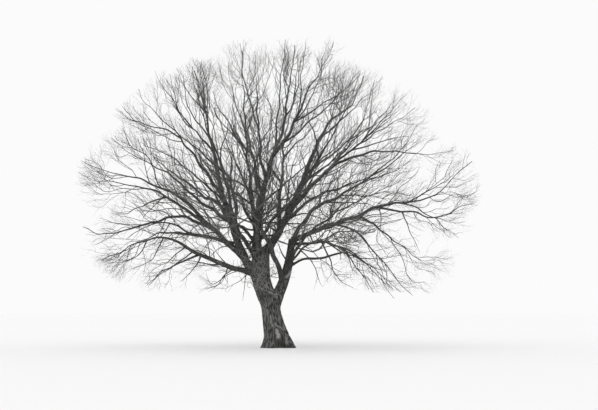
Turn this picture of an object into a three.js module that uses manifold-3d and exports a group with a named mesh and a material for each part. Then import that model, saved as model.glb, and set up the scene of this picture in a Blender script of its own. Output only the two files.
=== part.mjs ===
import * as THREE from "three";
import { mergeVertices } from "three/addons/utils/BufferGeometryUtils.js";
import Module from "manifold-3d";

// A broad, open-grown deciduous tree in winter, bare of leaves, 14 m high with a crown 18.5 m across.
// Millimetres and degrees, +Z up. The tree is seen from -Y, with +X on the right. The origin lies in
// the flat cut under the trunk, at ground level. A bearing is an angle in plan: 0 is +X and 90 is +Y.
// A rise is an angle above level. A share is a place along a limb, from 0 at its foot to 1 at its tip.
const wasm = await Module();
wasm.setup();

const GAP = 0.3; // between two solids that are one piece of wood on the real tree
const UP = new THREE.Vector3(0, 0, 1);

// The crown is a dome round its heart. Shoots end inside it, or no further out than their limb's tip.
const HEART = new THREE.Vector3(230, 0, 4880);
const CROWN = 9150; // radius of the dome
const SKIRT = 2450; // height of the lowest twigs above the ground

// The trunk: an oval column that leans a little to the left and widens again below its fork.
const TRUNK = {
  footCentre: 180,
  lean: -0.1, // how far the centre moves in x for each millimetre of height
  halfWidth: 420,
  halfDepth: 400,
  forkHeight: 2620,
  domeFrom: 2250, // the top is rounded over from here to the fork
  domeShare: 0.8, // how much of the section the rounding takes
  spreadFrom: 1750,
  spreadLeft: 250, // how much wider the trunk is at the fork, on its left and its right
  spreadRight: 400,
  spreadCurve: 1.25,
  sides: 28,
  levels: 16,
  crowding: 1.15, // levels lie closer together towards the top
};
// The toes of root: bearing, reach past the column at the ground, height up the trunk, and sharpness.
const TOES = [
  { bearing: 0, reach: 560, height: 1900, sharp: 7 },
  { bearing: 62, reach: 260, height: 900, sharp: 8 },
  { bearing: 125, reach: 230, height: 800, sharp: 8 },
  { bearing: 182, reach: 230, height: 620, sharp: 6 },
  { bearing: 240, reach: 150, height: 700, sharp: 9 },
  { bearing: 322, reach: 130, height: 900, sharp: 12 },
];
const TOE_FALL = 1.7;
// The hollow at the foot of the trunk: a leaning arch, open to the front and down to the ground.
const HOLLOW = { centre: [450, -560, 200], half: [275, 420, 840], lean: -0.2, sides: 18 };

const SWAY = 7; // the most that one step turns off the limb's even curve
const TAPER = 1.35; // how a limb thins: its thickness goes as (1 - share) to this power
const TIP = 0.04; // thickness at the very tip, as a share of that at the foot
const STEP = 760; // length of one straight step of a bough, about
const LEAST_STEPS = 3;
const SIDES = { stem: 14, bough: 8, axis: 4, shoot: 3 };
const AXIS_STEPS = 5;

// The rule for twigs. A mass's axis, the twiggy end of its limb, bears first shoots, and these bear
// second shoots, one for about each gap of the length that bears them, closer towards its tip. A shoot
// leaves at a fork angle, turns towards the light as it grows, and rises at its tip.
const RULE = [
  { gap: 800, from: 0.04, to: 0.95, long: 0.72, least: 850, fork: 42, steps: 2, slim: 0.011 },
  { gap: 1350, from: 0.16, to: 0.96, long: 0.58, least: 500, fork: 42, steps: 1, slim: 0.01 },
];
const OUTWARD = 0.65; // below 1, shoots stand closer towards the tip of what bears them
const FORK_SPREAD = 16;
const GOLDEN_SHARE = 0.618034; // from one shoot to the next, along the wood that bears them
const FIRST_SHARE = 0.409;
const GOLDEN_TURN = 137.5; // from one shoot to the next, round that wood
const TURN_SPREAD = 25;
const LONG_SPREAD = 0.15;
const WANDER = 0.1; // how far a step of a shoot strays to a side, as a share of its length
const BEND = 0.42; // how far a shoot has turned towards the light at its tip
const TIP_RISE = 0.45; // how strongly a shoot's tip rises
const LIFT = 1.6; // strength of a limb's lift against the pull outwards from the heart
const BUD = 4; // thickness that even the shortest shoot has at its foot
const SLIM_OF_PARENT = 0.62; // a shoot is never thicker than this share of the wood it leaves
const ROOM = 45; // that a shoot keeps clear of its neighbours' space
const SHRINK = [1, 0.78, 0.58, 0.42]; // a shoot that has no room is tried again at these shares

// The limbs. from and at: the limb that bears it, and the share where it leaves. aside: its foot's
// place off that limb's middle, in x and y. bearing and rise: its heading, at even places from foot to
// tip. girth: diameter at its foot. bare: the share that is one bough, before its mass of twigs.
// lift: how its twigs turn, up to the light above 0 and down below it.
const LIMBS = {
  west_stem: {
    foot: [-160, 0, 2250], bearing: [180],
    rise: [62, 80, 90, 92], length: 2230, girth: 840, tip: 0.94, bare: 1,
  },
  east_stem: {
    foot: [190, -20, 2150], bearing: [0],
    rise: [58, 70, 74, 84, 82], length: 2900, girth: 560, tip: 0.55, bare: 1,
  },

  west_limb: {
    from: "west_stem", at: 0.44, aside: [-200, 0], bearing: [180, 184, 176],
    rise: [50, 66, 70, 72, 80, 78, 80, 84], length: 10100, girth: 440, bare: 0.58, lift: 0.6,
  },
  west_low_limb: {
    from: "west_stem", at: 0.5, aside: [-280, -60], bearing: [186, 178],
    rise: [24, 18, 20, 28, 8, -12, -32, -22], length: 7500, girth: 290, bare: 0.48, lift: -0.45,
  },
  west_mid_limb: {
    from: "west_limb", at: 0.1, bearing: [182, 172],
    rise: [42, 38, 44, 33, 18, 14, 36], length: 9000, girth: 290, bare: 0.5, lift: 0.3,
  },
  west_fork_limb: {
    from: "west_mid_limb", at: 0.27, bearing: [203, 197],
    rise: [22, 30, 24, 14, 6, 30], length: 6300, girth: 170, bare: 0.42, lift: 0.1,
  },
  west_back_low_limb: {
    from: "west_mid_limb", at: 0.14, bearing: [152, 160],
    rise: [14, 14, 3, -18, -28, -26], length: 6700, girth: 170, bare: 0.42, lift: -0.35,
  },
  northwest_limb: {
    from: "west_limb", at: 0.36, bearing: [200, 192],
    rise: [56, 62, 50, 48, 38, 42, 64], length: 6600, girth: 200, bare: 0.46, lift: 0.6,
  },
  west_high_limb: {
    from: "west_limb", at: 0.27, bearing: [222, 212],
    rise: [34, 30, 33, 20, 26, 34], length: 7000, girth: 190, bare: 0.45, lift: 0.4,
  },
  west_back_limb: {
    from: "west_limb", at: 0.3, bearing: [134, 142],
    rise: [52, 20, 33, 30, 36, 54], length: 8000, girth: 210, bare: 0.45, lift: 0.4,
  },
  northwest_fork_limb: {
    from: "west_limb", at: 0.57, bearing: [170, 178],
    rise: [62, 42, 50, 68, 64], length: 4700, girth: 120, bare: 0.34, lift: 0.7,
  },

  leader: {
    from: "west_stem", at: 0.97, aside: [-230, 0], bearing: [0],
    rise: [98, 84, 76, 78, 72, 74, 82, 84, 88, 91], length: 9800, girth: 390, bare: 0.54, lift: 0.8,
  },
  front_west_limb: {
    from: "west_stem", at: 0.9, aside: [-300, -160], bearing: [232, 250],
    rise: [34, 58, 66, 52, 46, 60, 70], length: 9300, girth: 230, bare: 0.48, lift: 0.5,
  },
  front_high_limb: {
    from: "leader", at: 0.1, aside: [-60, -60], bearing: [258, 268],
    rise: [64, 66, 68, 70, 80], length: 8200, girth: 220, bare: 0.5, lift: 0.6,
  },
  back_high_limb: {
    from: "leader", at: 0.27, bearing: [116, 128],
    rise: [56, 64, 60, 76], length: 7800, girth: 190, bare: 0.42, lift: 0.6,
  },
  leader_west_fork: {
    from: "leader", at: 0.34, bearing: [200],
    rise: [74, 84, 80, 88, 80, 92], length: 5900, girth: 170, bare: 0.4, lift: 0.8,
  },
  leader_east_fork: {
    from: "leader", at: 0.46, bearing: [-12, -6],
    rise: [50, 60, 72, 58, 60, 74], length: 6000, girth: 190, bare: 0.42, lift: 0.7,
  },
  east_high_limb: {
    from: "west_stem", at: 0.97, aside: [240, 0], bearing: [10, 24, 36],
    rise: [60, 58, 70, 64, 70, 56, 42, 46, 72], length: 10200, girth: 400, bare: 0.5, lift: 0.6,
  },
  back_center_limb: {
    from: "east_high_limb", at: 0.1, aside: [0, 60], bearing: [88, 72],
    rise: [56, 66, 60, 52, 68], length: 9400, girth: 230, bare: 0.48, lift: 0.5,
  },
  front_east_limb: {
    from: "east_high_limb", at: 0.18, aside: [0, -60], bearing: [296, 312],
    rise: [52, 38, 40, 46, 62], length: 8100, girth: 190, bare: 0.48, lift: 0.5,
  },
  east_rising_limb: {
    from: "east_high_limb", at: 0.24, bearing: [-10, -16],
    rise: [50, 46, 50, 40, 38, 26, 24, 46], length: 7200, girth: 230, bare: 0.5, lift: 0.5,
  },
  east_level_limb: {
    from: "east_rising_limb", at: 0.3, bearing: [-20, -8],
    rise: [38, 8, -4, 0, 6], length: 6100, girth: 160, bare: 0.42, lift: 0.2,
  },
  back_east_limb: {
    from: "east_high_limb", at: 0.15, bearing: [56, 44],
    rise: [30, 26, 16, 22, 34], length: 8700, girth: 200, bare: 0.45, lift: 0.2,
  },

  east_limb: {
    from: "east_stem", at: 0.98, bearing: [0, -4],
    rise: [14, 26, 20, 23, 12, 9, 26, 46, 40], length: 9200, girth: 270, bare: 0.52, lift: 0.2,
  },
  east_low_limb: {
    from: "east_stem", at: 0.92, aside: [60, -60], bearing: [-14, -22],
    rise: [4, 0, -14, -40, -52, -46], length: 5700, girth: 170, bare: 0.36, lift: -0.45,
  },
  east_drooping_limb: {
    from: "east_limb", at: 0.36, bearing: [24, 12],
    rise: [-20, -32, -42, -40, -30, -8], length: 4800, girth: 120, bare: 0.3, lift: -0.35,
  },
  east_upper_limb: {
    from: "east_stem", at: 0.95, aside: [0, 100], bearing: [14, 6],
    rise: [64, 46, 30, 28, 28, 36, 50, 66], length: 8400, girth: 220, bare: 0.5, lift: 0.4,
  },
  inner_front_limb: {
    from: "east_stem", at: 0.34, aside: [-60, -100], bearing: [232, 244],
    rise: [74, 56, 50, 54, 48, 60], length: 8800, girth: 260, bare: 0.5, lift: 0.3,
  },
  dead_limb: {
    from: "east_stem", at: 0.56, aside: [40, 0], bearing: [-6],
    rise: [28, 26, 10, 2, 16], length: 2500, girth: 140, tip: 0.55, bare: 1,
  },

  front_low_limb: {
    from: "west_stem", at: 0.72, aside: [0, -60], bearing: [268, 280],
    rise: [46, 36, 22, 20, 34], length: 9500, girth: 210, bare: 0, lift: 0.2,
  },
  back_low_limb: {
    from: "west_stem", at: 0.72, aside: [0, 60], bearing: [98, 88],
    rise: [42, 30, 18, 12, 26], length: 9600, girth: 210, bare: 0, lift: 0.1,
  },
  front_east_low_limb: {
    from: "east_stem", at: 0.6, aside: [0, -40], bearing: [306, 318],
    rise: [40, 44, 26, 16, 4, -16], length: 8200, girth: 170, bare: 0, lift: -0.2,
  },
};

// Seeded draws: 32-bit numbers are stirred, so that each draw depends only on a seed and a number.
const STIR = 0x45d9f3b;
const STRIDE = 0x9e3779b1;

function scramble(number) {
  let n = number >>> 0;
  n = Math.imul(n ^ (n >>> 16), STIR) >>> 0;
  n = Math.imul(n ^ (n >>> 16), STIR) >>> 0;
  return (n ^ (n >>> 16)) >>> 0;
}

const seedOf = (seed, number) => scramble((seed + Math.imul(number + 1, STRIDE)) >>> 0);
const draw = (seed, number) => seedOf(seed, number) / 2 ** 32; // from 0 to 1
const even = (seed, number) => 2 * draw(seed, number) - 1; // from -1 to 1

// The value at a share along a list of values at even places.
function along(values, share) {
  const place = share * (values.length - 1);
  const low = Math.min(Math.floor(place), Math.max(values.length - 2, 0));
  const high = Math.min(low + 1, values.length - 1);
  return THREE.MathUtils.lerp(values[low], values[high], place - low);
}

function heading(bearing, rise) {
  const turn = THREE.MathUtils.degToRad(bearing);
  const climb = THREE.MathUtils.degToRad(rise);
  const level = Math.cos(climb);
  return new THREE.Vector3(level * Math.cos(turn), level * Math.sin(turn), Math.sin(climb));
}

// A limb's radius at a share. One that ends as a stump, or that others grow from, thins evenly.
function thickness(limb, share) {
  if (limb.tip !== undefined) return (limb.girth / 2) * THREE.MathUtils.lerp(1, limb.tip, share);
  return (limb.girth / 2) * Math.max(TIP, (1 - share) ** TAPER);
}

// The middle line of a limb: straight steps, each along the limb's heading there with a seeded sway.
// A whole number of steps ends where the bough does, so that its mass goes on from a true end.
function limbLine(name, limb, number, lines) {
  const foot = limb.foot ? new THREE.Vector3(...limb.foot) : pointOn(lines[limb.from], limb.at);
  if (limb.aside) foot.add(new THREE.Vector3(limb.aside[0], limb.aside[1], 0));
  const wholeSteps = Math.max(LEAST_STEPS, Math.round((limb.bare * limb.length) / STEP));
  const boughSteps = limb.bare === 0 ? 0 : wholeSteps;
  const massSteps = limb.bare === 1 ? 0 : AXIS_STEPS;
  const shares = [0];
  for (let i = 1; i <= boughSteps; i += 1) shares.push((limb.bare * i) / boughSteps);
  for (let i = 1; i <= massSteps; i += 1) shares.push(limb.bare + ((1 - limb.bare) * i) / massSteps);
  const points = [foot];
  for (let i = 1; i < shares.length; i += 1) {
    const middle = (shares[i] + shares[i - 1]) / 2;
    const sway = limb.foot ? 0 : SWAY;
    const bearing = along(limb.bearing, middle) + sway * even(number, 2 * i);
    const rise = along(limb.rise, middle) + sway * even(number, 2 * i + 1);
    const step = heading(bearing, rise).multiplyScalar(limb.length * (shares[i] - shares[i - 1]));
    points.push(points[i - 1].clone().add(step));
  }
  const radii = shares.map((share) => thickness(limb, share));
  return { name, limb, number, points, shares, boughSteps, radii };
}

// The step of a line that a share falls in, and how far along that step it is.
function stepAt(line, share) {
  const next = Math.max(1, line.shares.findIndex((place) => place >= share));
  const part = (share - line.shares[next - 1]) / (line.shares[next] - line.shares[next - 1]);
  return { next, part };
}

function pointOn(line, share) {
  const { next, part } = stepAt(line, share);
  return line.points[next - 1].clone().lerp(line.points[next], part);
}

function directionOn(line, share) {
  const { next } = stepAt(line, share);
  return line.points[next].clone().sub(line.points[next - 1]).normalize();
}

function radiusOn(line, share) {
  const { next, part } = stepAt(line, share);
  return THREE.MathUtils.lerp(line.radii[next - 1], line.radii[next], part);
}

// The distance from a point to a line of steps, and to its surface where the line has thickness.
const stepOfLine = new THREE.Line3();
const nearest = new THREE.Vector3();

function distanceTo(point, points, radii) {
  let least = Infinity;
  for (let i = 1; i < points.length; i += 1) {
    stepOfLine.set(points[i - 1], points[i]);
    stepOfLine.closestPointToPoint(point, true, nearest);
    const thick = radii ? Math.max(radii[i - 1], radii[i]) : 0;
    least = Math.min(least, nearest.distanceTo(point) - thick);
  }
  return least;
}

// The solid that a closed grid bounds, once corners that lie together are one.
const TOGETHER = 1e-4;

function solidOf(geometry) {
  geometry.deleteAttribute("normal");
  geometry.deleteAttribute("uv");
  const merged = mergeVertices(geometry, TOGETHER);
  const vertProperties = new Float32Array(merged.attributes.position.array);
  const triVerts = new Uint32Array(merged.index.array);
  return new wasm.Manifold(new wasm.Mesh({ numProp: 3, vertProperties, triVerts }));
}

// A cylinder's grid carried along a line of steps, thinning with it. Its end is a point if pointed.
// extra makes it bigger all round, its ends too.
function tube(line, radii, sides, pointed, extra = 0) {
  const steps = line.length - 1;
  const points = [
    line[0].clone().lerp(line[1], -extra / line[0].distanceTo(line[1])),
    ...line.slice(1, steps),
    line[steps].clone().lerp(line[steps - 1], -extra / line[steps].distanceTo(line[steps - 1])),
  ];
  const grid = new THREE.CylinderGeometry(pointed ? 0 : 1, 1, 1, sides, steps);
  const across = [];
  let side = new THREE.Vector3(0, 1, 0);
  for (let i = 0; i <= steps; i += 1) {
    const before = points[Math.max(i - 1, 0)];
    const after = points[Math.min(i + 1, steps)];
    const tangent = after.clone().sub(before).normalize();
    side = side.clone().addScaledVector(tangent, -side.dot(tangent)).normalize();
    across.push([side, side.clone().cross(tangent)]);
  }
  const place = grid.attributes.position;
  const corner = new THREE.Vector3();
  for (let i = 0; i < place.count; i += 1) {
    const row = Math.round((place.getY(i) + 0.5) * steps);
    corner.fromBufferAttribute(place, i).setY(0);
    const atMiddle = corner.length() < TOGETHER;
    if (!atMiddle) corner.normalize().multiplyScalar(radii[row] + extra / Math.cos(Math.PI / sides));
    const [first, second] = across[row];
    const moved = points[row].clone().addScaledVector(first, corner.x).addScaledVector(second, corner.z);
    place.setXYZ(i, moved.x, moved.y, moved.z);
  }
  return solidOf(grid);
}

// The trunk's outline at a height, towards a bearing: the column, its spread and its toes.
function trunkReach(bearing, height) {
  const cosine = Math.cos(bearing);
  const spreadUp = Math.max(0, (height - TRUNK.spreadFrom) / (TRUNK.forkHeight - TRUNK.spreadFrom));
  const spread = (cosine < 0 ? TRUNK.spreadLeft : TRUNK.spreadRight) * spreadUp ** TRUNK.spreadCurve;
  const halfWidth = TRUNK.halfWidth + spread;
  let reach = 1 / Math.hypot(cosine / halfWidth, Math.sin(bearing) / TRUNK.halfDepth);
  for (const toe of TOES) {
    const facing = Math.max(0, Math.cos(bearing - THREE.MathUtils.degToRad(toe.bearing)));
    reach += toe.reach * facing ** toe.sharp * Math.max(0, 1 - height / toe.height) ** TOE_FALL;
  }
  return reach;
}

function trunkSolid(extra = 0) {
  const grid = new THREE.CylinderGeometry(1, 1, 1, TRUNK.sides, TRUNK.levels);
  const place = grid.attributes.position;
  for (let i = 0; i < place.count; i += 1) {
    const level = Math.round((place.getY(i) + 0.5) * TRUNK.levels) / TRUNK.levels;
    const height = TRUNK.forkHeight * (1 - (1 - level) ** TRUNK.crowding);
    const bearing = Math.atan2(-place.getZ(i), place.getX(i));
    const domeUp = Math.max(0, (height - TRUNK.domeFrom) / (TRUNK.forkHeight - TRUNK.domeFrom));
    const dome = Math.sqrt(1 - TRUNK.domeShare * domeUp ** 2);
    const atMiddle = Math.hypot(place.getX(i), place.getZ(i)) < TOGETHER;
    const reach = atMiddle ? 0 : trunkReach(bearing, height) * dome + extra;
    const x = TRUNK.footCentre + TRUNK.lean * height + Math.cos(bearing) * reach;
    place.setXYZ(i, x, Math.sin(bearing) * reach, height + (level === 1 ? extra : 0));
  }
  return solidOf(grid);
}

function hollowSolid() {
  const grid = new THREE.SphereGeometry(1, HOLLOW.sides, HOLLOW.sides / 2);
  grid.rotateX(Math.PI / 2);
  grid.scale(...HOLLOW.half);
  const lean = new THREE.Matrix4().makeShear(0, 0, 0, 0, HOLLOW.lean, 0);
  grid.applyMatrix4(lean);
  grid.translate(...HOLLOW.centre);
  return solidOf(grid);
}

// The biggest of the pieces that a cut leaves.
function biggest(solid) {
  const pieces = solid.decompose();
  return pieces.reduce((best, piece) => (piece.volume() > best.volume() ? piece : best));
}

// A shoot of a line: it leaves at a share along it, turned round it by the golden angle from the shoot
// before, and bends from its fork angle towards the light: outwards from the heart, and up by lift.
function shootLine(parent, order, number, lift, shrink) {
  const rule = RULE[order];
  const seed = seedOf(parent.number, number);
  const spot = ((number * GOLDEN_SHARE + FIRST_SHARE) % 1) ** OUTWARD;
  const share = rule.from + (rule.to - rule.from) * spot;
  const foot = pointOn(parent, share);
  const onward = directionOn(parent, share);
  const fork = THREE.MathUtils.degToRad(rule.fork + FORK_SPREAD * even(seed, 1));
  const turn = 360 * draw(parent.number, 0) + GOLDEN_TURN * number + TURN_SPREAD * even(seed, 2);
  const side = UP.clone().addScaledVector(onward, -onward.z).normalize();
  const out = side.applyAxisAngle(onward, THREE.MathUtils.degToRad(turn));
  const first = onward.multiplyScalar(Math.cos(fork)).addScaledVector(out, Math.sin(fork));
  const light = foot.clone().sub(HEART).normalize().addScaledVector(UP, LIFT * lift).normalize();
  const spread = 1 + LONG_SPREAD * even(seed, 3);
  const length = shrink * (rule.least + rule.long * parent.reach * (1 - share) * spread);
  const points = [foot];
  for (let i = 1; i <= rule.steps; i += 1) {
    const turned = (BEND * (i - 0.5)) / rule.steps;
    const stray = new THREE.Vector3(even(seed, 3 * i + 1), even(seed, 3 * i + 2), even(seed, 3 * i + 3));
    const step = first.clone().lerp(light, turned).normalize().addScaledVector(stray, WANDER);
    step.addScaledVector(UP, TIP_RISE * ((i - 0.5) / rule.steps) ** 2).normalize();
    points.push(points[i - 1].clone().addScaledVector(step, length / rule.steps));
  }
  const thick = Math.min(SLIM_OF_PARENT * radiusOn(parent, share), rule.slim * length + BUD);
  const shares = points.map((_, i) => i / rule.steps);
  const radii = shares.map((place) => thick * Math.max(TIP, 1 - place));
  return { number: seed, points, shares, radii, reach: length };
}

// Whether a shoot stays in the crown, above the skirt, in its mass's own space and clear of the limbs.
function hasRoom(shoot, own, axes, boughs) {
  const furthest = Math.max(CROWN, own.points[own.points.length - 1].distanceTo(HEART));
  return shoot.points.every((point, i) => {
    if (point.distanceTo(HEART) > furthest || point.z < SKIRT) return false;
    if (i === 0) return true;
    const toOwn = distanceTo(point, own.points);
    const free = axes.every((axis) => axis === own || distanceTo(point, axis.points) > toOwn + ROOM);
    const clear = ROOM + shoot.radii[i];
    return free && boughs.every((bough) => distanceTo(point, bough.points, bough.radii) > clear);
  });
}

function shootsOf(parent, order, own, axes, boughs, lift) {
  const grown = [];
  const count = Math.max(1, Math.round(parent.reach / RULE[order].gap));
  for (let number = 0; number < count; number += 1) {
    for (const shrink of SHRINK) {
      const shoot = shootLine(parent, order, number, lift, shrink);
      if (!hasRoom(shoot, own, axes, boughs)) continue;
      grown.push(shoot);
      if (order + 1 < RULE.length) grown.push(...shootsOf(shoot, order + 1, own, axes, boughs, lift));
      break;
    }
  }
  return grown;
}

const BARK = new THREE.MeshStandardMaterial({ color: 0x55534f, roughness: 0.9, metalness: 0 });
const LIMB_BARK = new THREE.MeshStandardMaterial({ color: 0x4d4b48, roughness: 0.85, metalness: 0 });
const TWIG = new THREE.MeshStandardMaterial({ color: 0x6b6863, roughness: 0.8, metalness: 0 });

const tree = new THREE.Group();

function add(name, solid, material) {
  const mesh = solid.getMesh();
  const geometry = new THREE.BufferGeometry();
  geometry.setAttribute("position", new THREE.BufferAttribute(mesh.vertProperties, mesh.numProp));
  geometry.setIndex(new THREE.BufferAttribute(mesh.triVerts, 1));
  geometry.computeVertexNormals();
  const piece = new THREE.Mesh(geometry, material);
  piece.name = name;
  tree.add(piece);
}

const lines = {};
Object.entries(LIMBS).forEach(([name, limb], number) => {
  lines[name] = limbLine(name, limb, number, lines);
});
const boughs = Object.values(lines)
  .filter((line) => line.boughSteps > 0)
  .map((line) => ({
    ...line,
    points: line.points.slice(0, line.boughSteps + 1),
    radii: line.radii.slice(0, line.boughSteps + 1),
  }));
const axes = Object.values(lines)
  .filter((line) => line.limb.bare < 1)
  .map((line) => ({
    ...line,
    points: line.points.slice(line.boughSteps),
    shares: line.shares
      .slice(line.boughSteps)
      .map((share) => (share - line.limb.bare) / (1 - line.limb.bare)),
    radii: line.radii.slice(line.boughSteps),
    reach: line.limb.length * (1 - line.limb.bare),
  }));

// The trunk, then each bough cut clear of all the wood made before it.
add("trunk", trunkSolid().subtract(hollowSolid()), BARK);
const grown = [trunkSolid(GAP)];
for (const bough of boughs) {
  const sides = bough.limb.foot ? SIDES.stem : SIDES.bough;
  let solid = tube(bough.points, bough.radii, sides, false);
  for (const wood of grown) solid = solid.subtract(wood);
  add(bough.name, biggest(solid), bough.limb.foot ? BARK : LIMB_BARK);
  grown.push(tube(bough.points, bough.radii, sides, false, GAP));
}

// The masses: the axis goes on from its bough's end, and its shoots are fused to it.
for (const axis of axes) {
  let mass = tube(axis.points, axis.radii, SIDES.axis, true);
  for (const shoot of shootsOf(axis, 0, axis, axes, boughs, axis.limb.lift)) {
    mass = mass.add(tube(shoot.points, shoot.radii, SIDES.shoot, true));
  }
  for (const wood of grown) mass = mass.subtract(wood);
  add(axis.name.replace("_limb", "") + "_twigs", biggest(mass), TWIG);
}

export default tree;
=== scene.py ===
# %% [markdown]
# A bare, open-grown tree in winter, 14 m high and about 18 m across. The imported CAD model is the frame:
# it fixes where the trunk, every bough and every mass of twigs are. This lesson dresses it. The trunk
# and boughs get bark with real relief, and each mass of twigs is grown again, by the same rule as in the
# model, and carried on to twigs a few millimetres thick.

import bpy
import numpy as np
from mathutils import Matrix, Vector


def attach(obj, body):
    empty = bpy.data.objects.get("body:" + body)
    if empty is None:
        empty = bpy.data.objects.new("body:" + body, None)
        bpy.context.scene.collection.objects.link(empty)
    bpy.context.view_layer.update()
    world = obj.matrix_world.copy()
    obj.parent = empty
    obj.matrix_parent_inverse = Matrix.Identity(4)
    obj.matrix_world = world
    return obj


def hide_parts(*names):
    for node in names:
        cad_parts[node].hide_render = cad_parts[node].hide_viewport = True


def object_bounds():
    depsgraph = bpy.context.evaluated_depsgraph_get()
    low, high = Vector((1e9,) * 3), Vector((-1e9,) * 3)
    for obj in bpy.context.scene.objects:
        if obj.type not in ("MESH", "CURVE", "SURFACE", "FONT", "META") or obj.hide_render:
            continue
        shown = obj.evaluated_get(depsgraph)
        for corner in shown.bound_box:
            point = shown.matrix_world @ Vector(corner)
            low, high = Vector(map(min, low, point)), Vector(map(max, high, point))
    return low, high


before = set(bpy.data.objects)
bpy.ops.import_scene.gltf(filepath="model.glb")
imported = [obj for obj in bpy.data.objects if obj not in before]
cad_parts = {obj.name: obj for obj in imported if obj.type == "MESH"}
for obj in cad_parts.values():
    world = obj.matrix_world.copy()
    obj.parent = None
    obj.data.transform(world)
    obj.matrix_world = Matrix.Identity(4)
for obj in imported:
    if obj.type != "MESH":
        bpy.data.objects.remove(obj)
cad_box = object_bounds()
print("nodes in the frame:", len(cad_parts))
print("box of the frame:", [[round(x, 3) for x in corner] for corner in cad_box])

# %% [markdown]
# The camera comes first, because every look at the work goes through it. It stands over level ground, 45 m
# away and as high as a standing eye, and looks a little up, so that the foot of the tree lies low in the
# picture. The lens is worked out from the width that the picture takes in at the tree.

# %% Camera
AWAY = 45.0  # from the trunk, in metres like every length here
EYE = 1.6  # height of the camera
SIDE_STEP = 1.28  # of the camera, to the right of the trunk
VIEW_WIDTH = 27.27  # that the picture takes in at the tree
TILT = 6.2  # degrees up
SENSOR = 36  # millimetres across
FURTHEST_SEEN = 1000

lens = bpy.data.cameras.new("eye")
lens.sensor_width = SENSOR
lens.lens = SENSOR * AWAY / VIEW_WIDTH
lens.clip_end = FURTHEST_SEEN
camera = bpy.data.objects.new("eye", lens)
camera.location = (SIDE_STEP, -AWAY, EYE)
camera.rotation_euler = (np.radians(90 + TILT), 0, 0)
bpy.context.scene.collection.objects.link(camera)
bpy.context.scene.camera = camera
print("lens:", round(lens.lens, 1), "mm")

# %% [markdown]
# An overcast winter sky is the softest light there is: it comes from everywhere, and pale ground throws
# half of it back up. So the light is a pale world, a wide and weak sun that gives limbs a lighter upper
# side, and a pale floor. The standard view transform keeps the greys as they are worked out.

# %% Light and floor
SKY = 0.965  # grey of the world all round
SUN = 0.55  # watts on a square metre
SUN_WIDTH = 70  # degrees across, so wide that its light has no hard edge
SUN_TILT, SUN_TURN = 38, -35  # degrees off upright, and round
FLOOR_SIZE = 1600
FLOOR_TONE = 0.86

world = bpy.data.worlds.new("overcast")
world.use_nodes = True
world.node_tree.nodes["Background"].inputs["Color"].default_value = (SKY, SKY, SKY, 1)
bpy.context.scene.world = world
bpy.context.scene.view_settings.view_transform = "Standard"

sun = bpy.data.lights.new("sun", "SUN")
sun.energy = SUN
sun.angle = np.radians(SUN_WIDTH)
sun_object = bpy.data.objects.new("sun", sun)
sun_object.rotation_euler = (np.radians(SUN_TILT), 0, np.radians(SUN_TURN))
bpy.context.scene.collection.objects.link(sun_object)

half = FLOOR_SIZE / 2
floor_mesh = bpy.data.meshes.new("floor")
floor_corners = [(-half, -half, 0), (half, -half, 0), (half, half, 0), (-half, half, 0)]
floor_mesh.from_pydata(floor_corners, [], [(0, 1, 2, 3)])
floor = bpy.data.objects.new("floor", floor_mesh)
bpy.context.scene.collection.objects.link(floor)
floor_finish = bpy.data.materials.new("floor")
floor_finish.use_nodes = True
floor_sockets = floor_finish.node_tree.nodes["Principled BSDF"].inputs
floor_sockets["Base Color"].default_value = (FLOOR_TONE, FLOOR_TONE, FLOOR_TONE, 1)
floor_sockets["Roughness"].default_value = 1
floor_mesh.materials.append(floor_finish)
print("sky", SKY, "sun", SUN)

# %% [markdown]
# The sizes below are the ones that shape the model, in metres. Each limb has a row: the limb that bears
# it and the share of the way up where it leaves, its heading (a bearing in plan, and a rise above level)
# at even places from foot to tip, its length, its diameter at the foot, and the share of it that is bare
# bough before its mass of twigs begins. lift says how its twigs turn: up to the light, or down. aside
# moves its foot off the line of what bears it, and tip is the share of its thickness where it ends.

# %% Sizes of the tree
HEART = np.array([0.23, 0, 4.88])  # the middle of the crown's dome
CROWN = 9.15  # radius of the dome
SKIRT = 2.45  # height of the lowest twigs
SWAY = 7  # degrees that a step's heading may stray by
TAPER = 1.35  # power by which a limb thins towards its tip
TIP = 0.04  # of a limb's radius that its tip still has
STEP = 0.76  # length of the steps of a bough
LEAST_STEPS = 3  # of a bough
AXIS_STEPS = 5  # of the end that bears a mass

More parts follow.
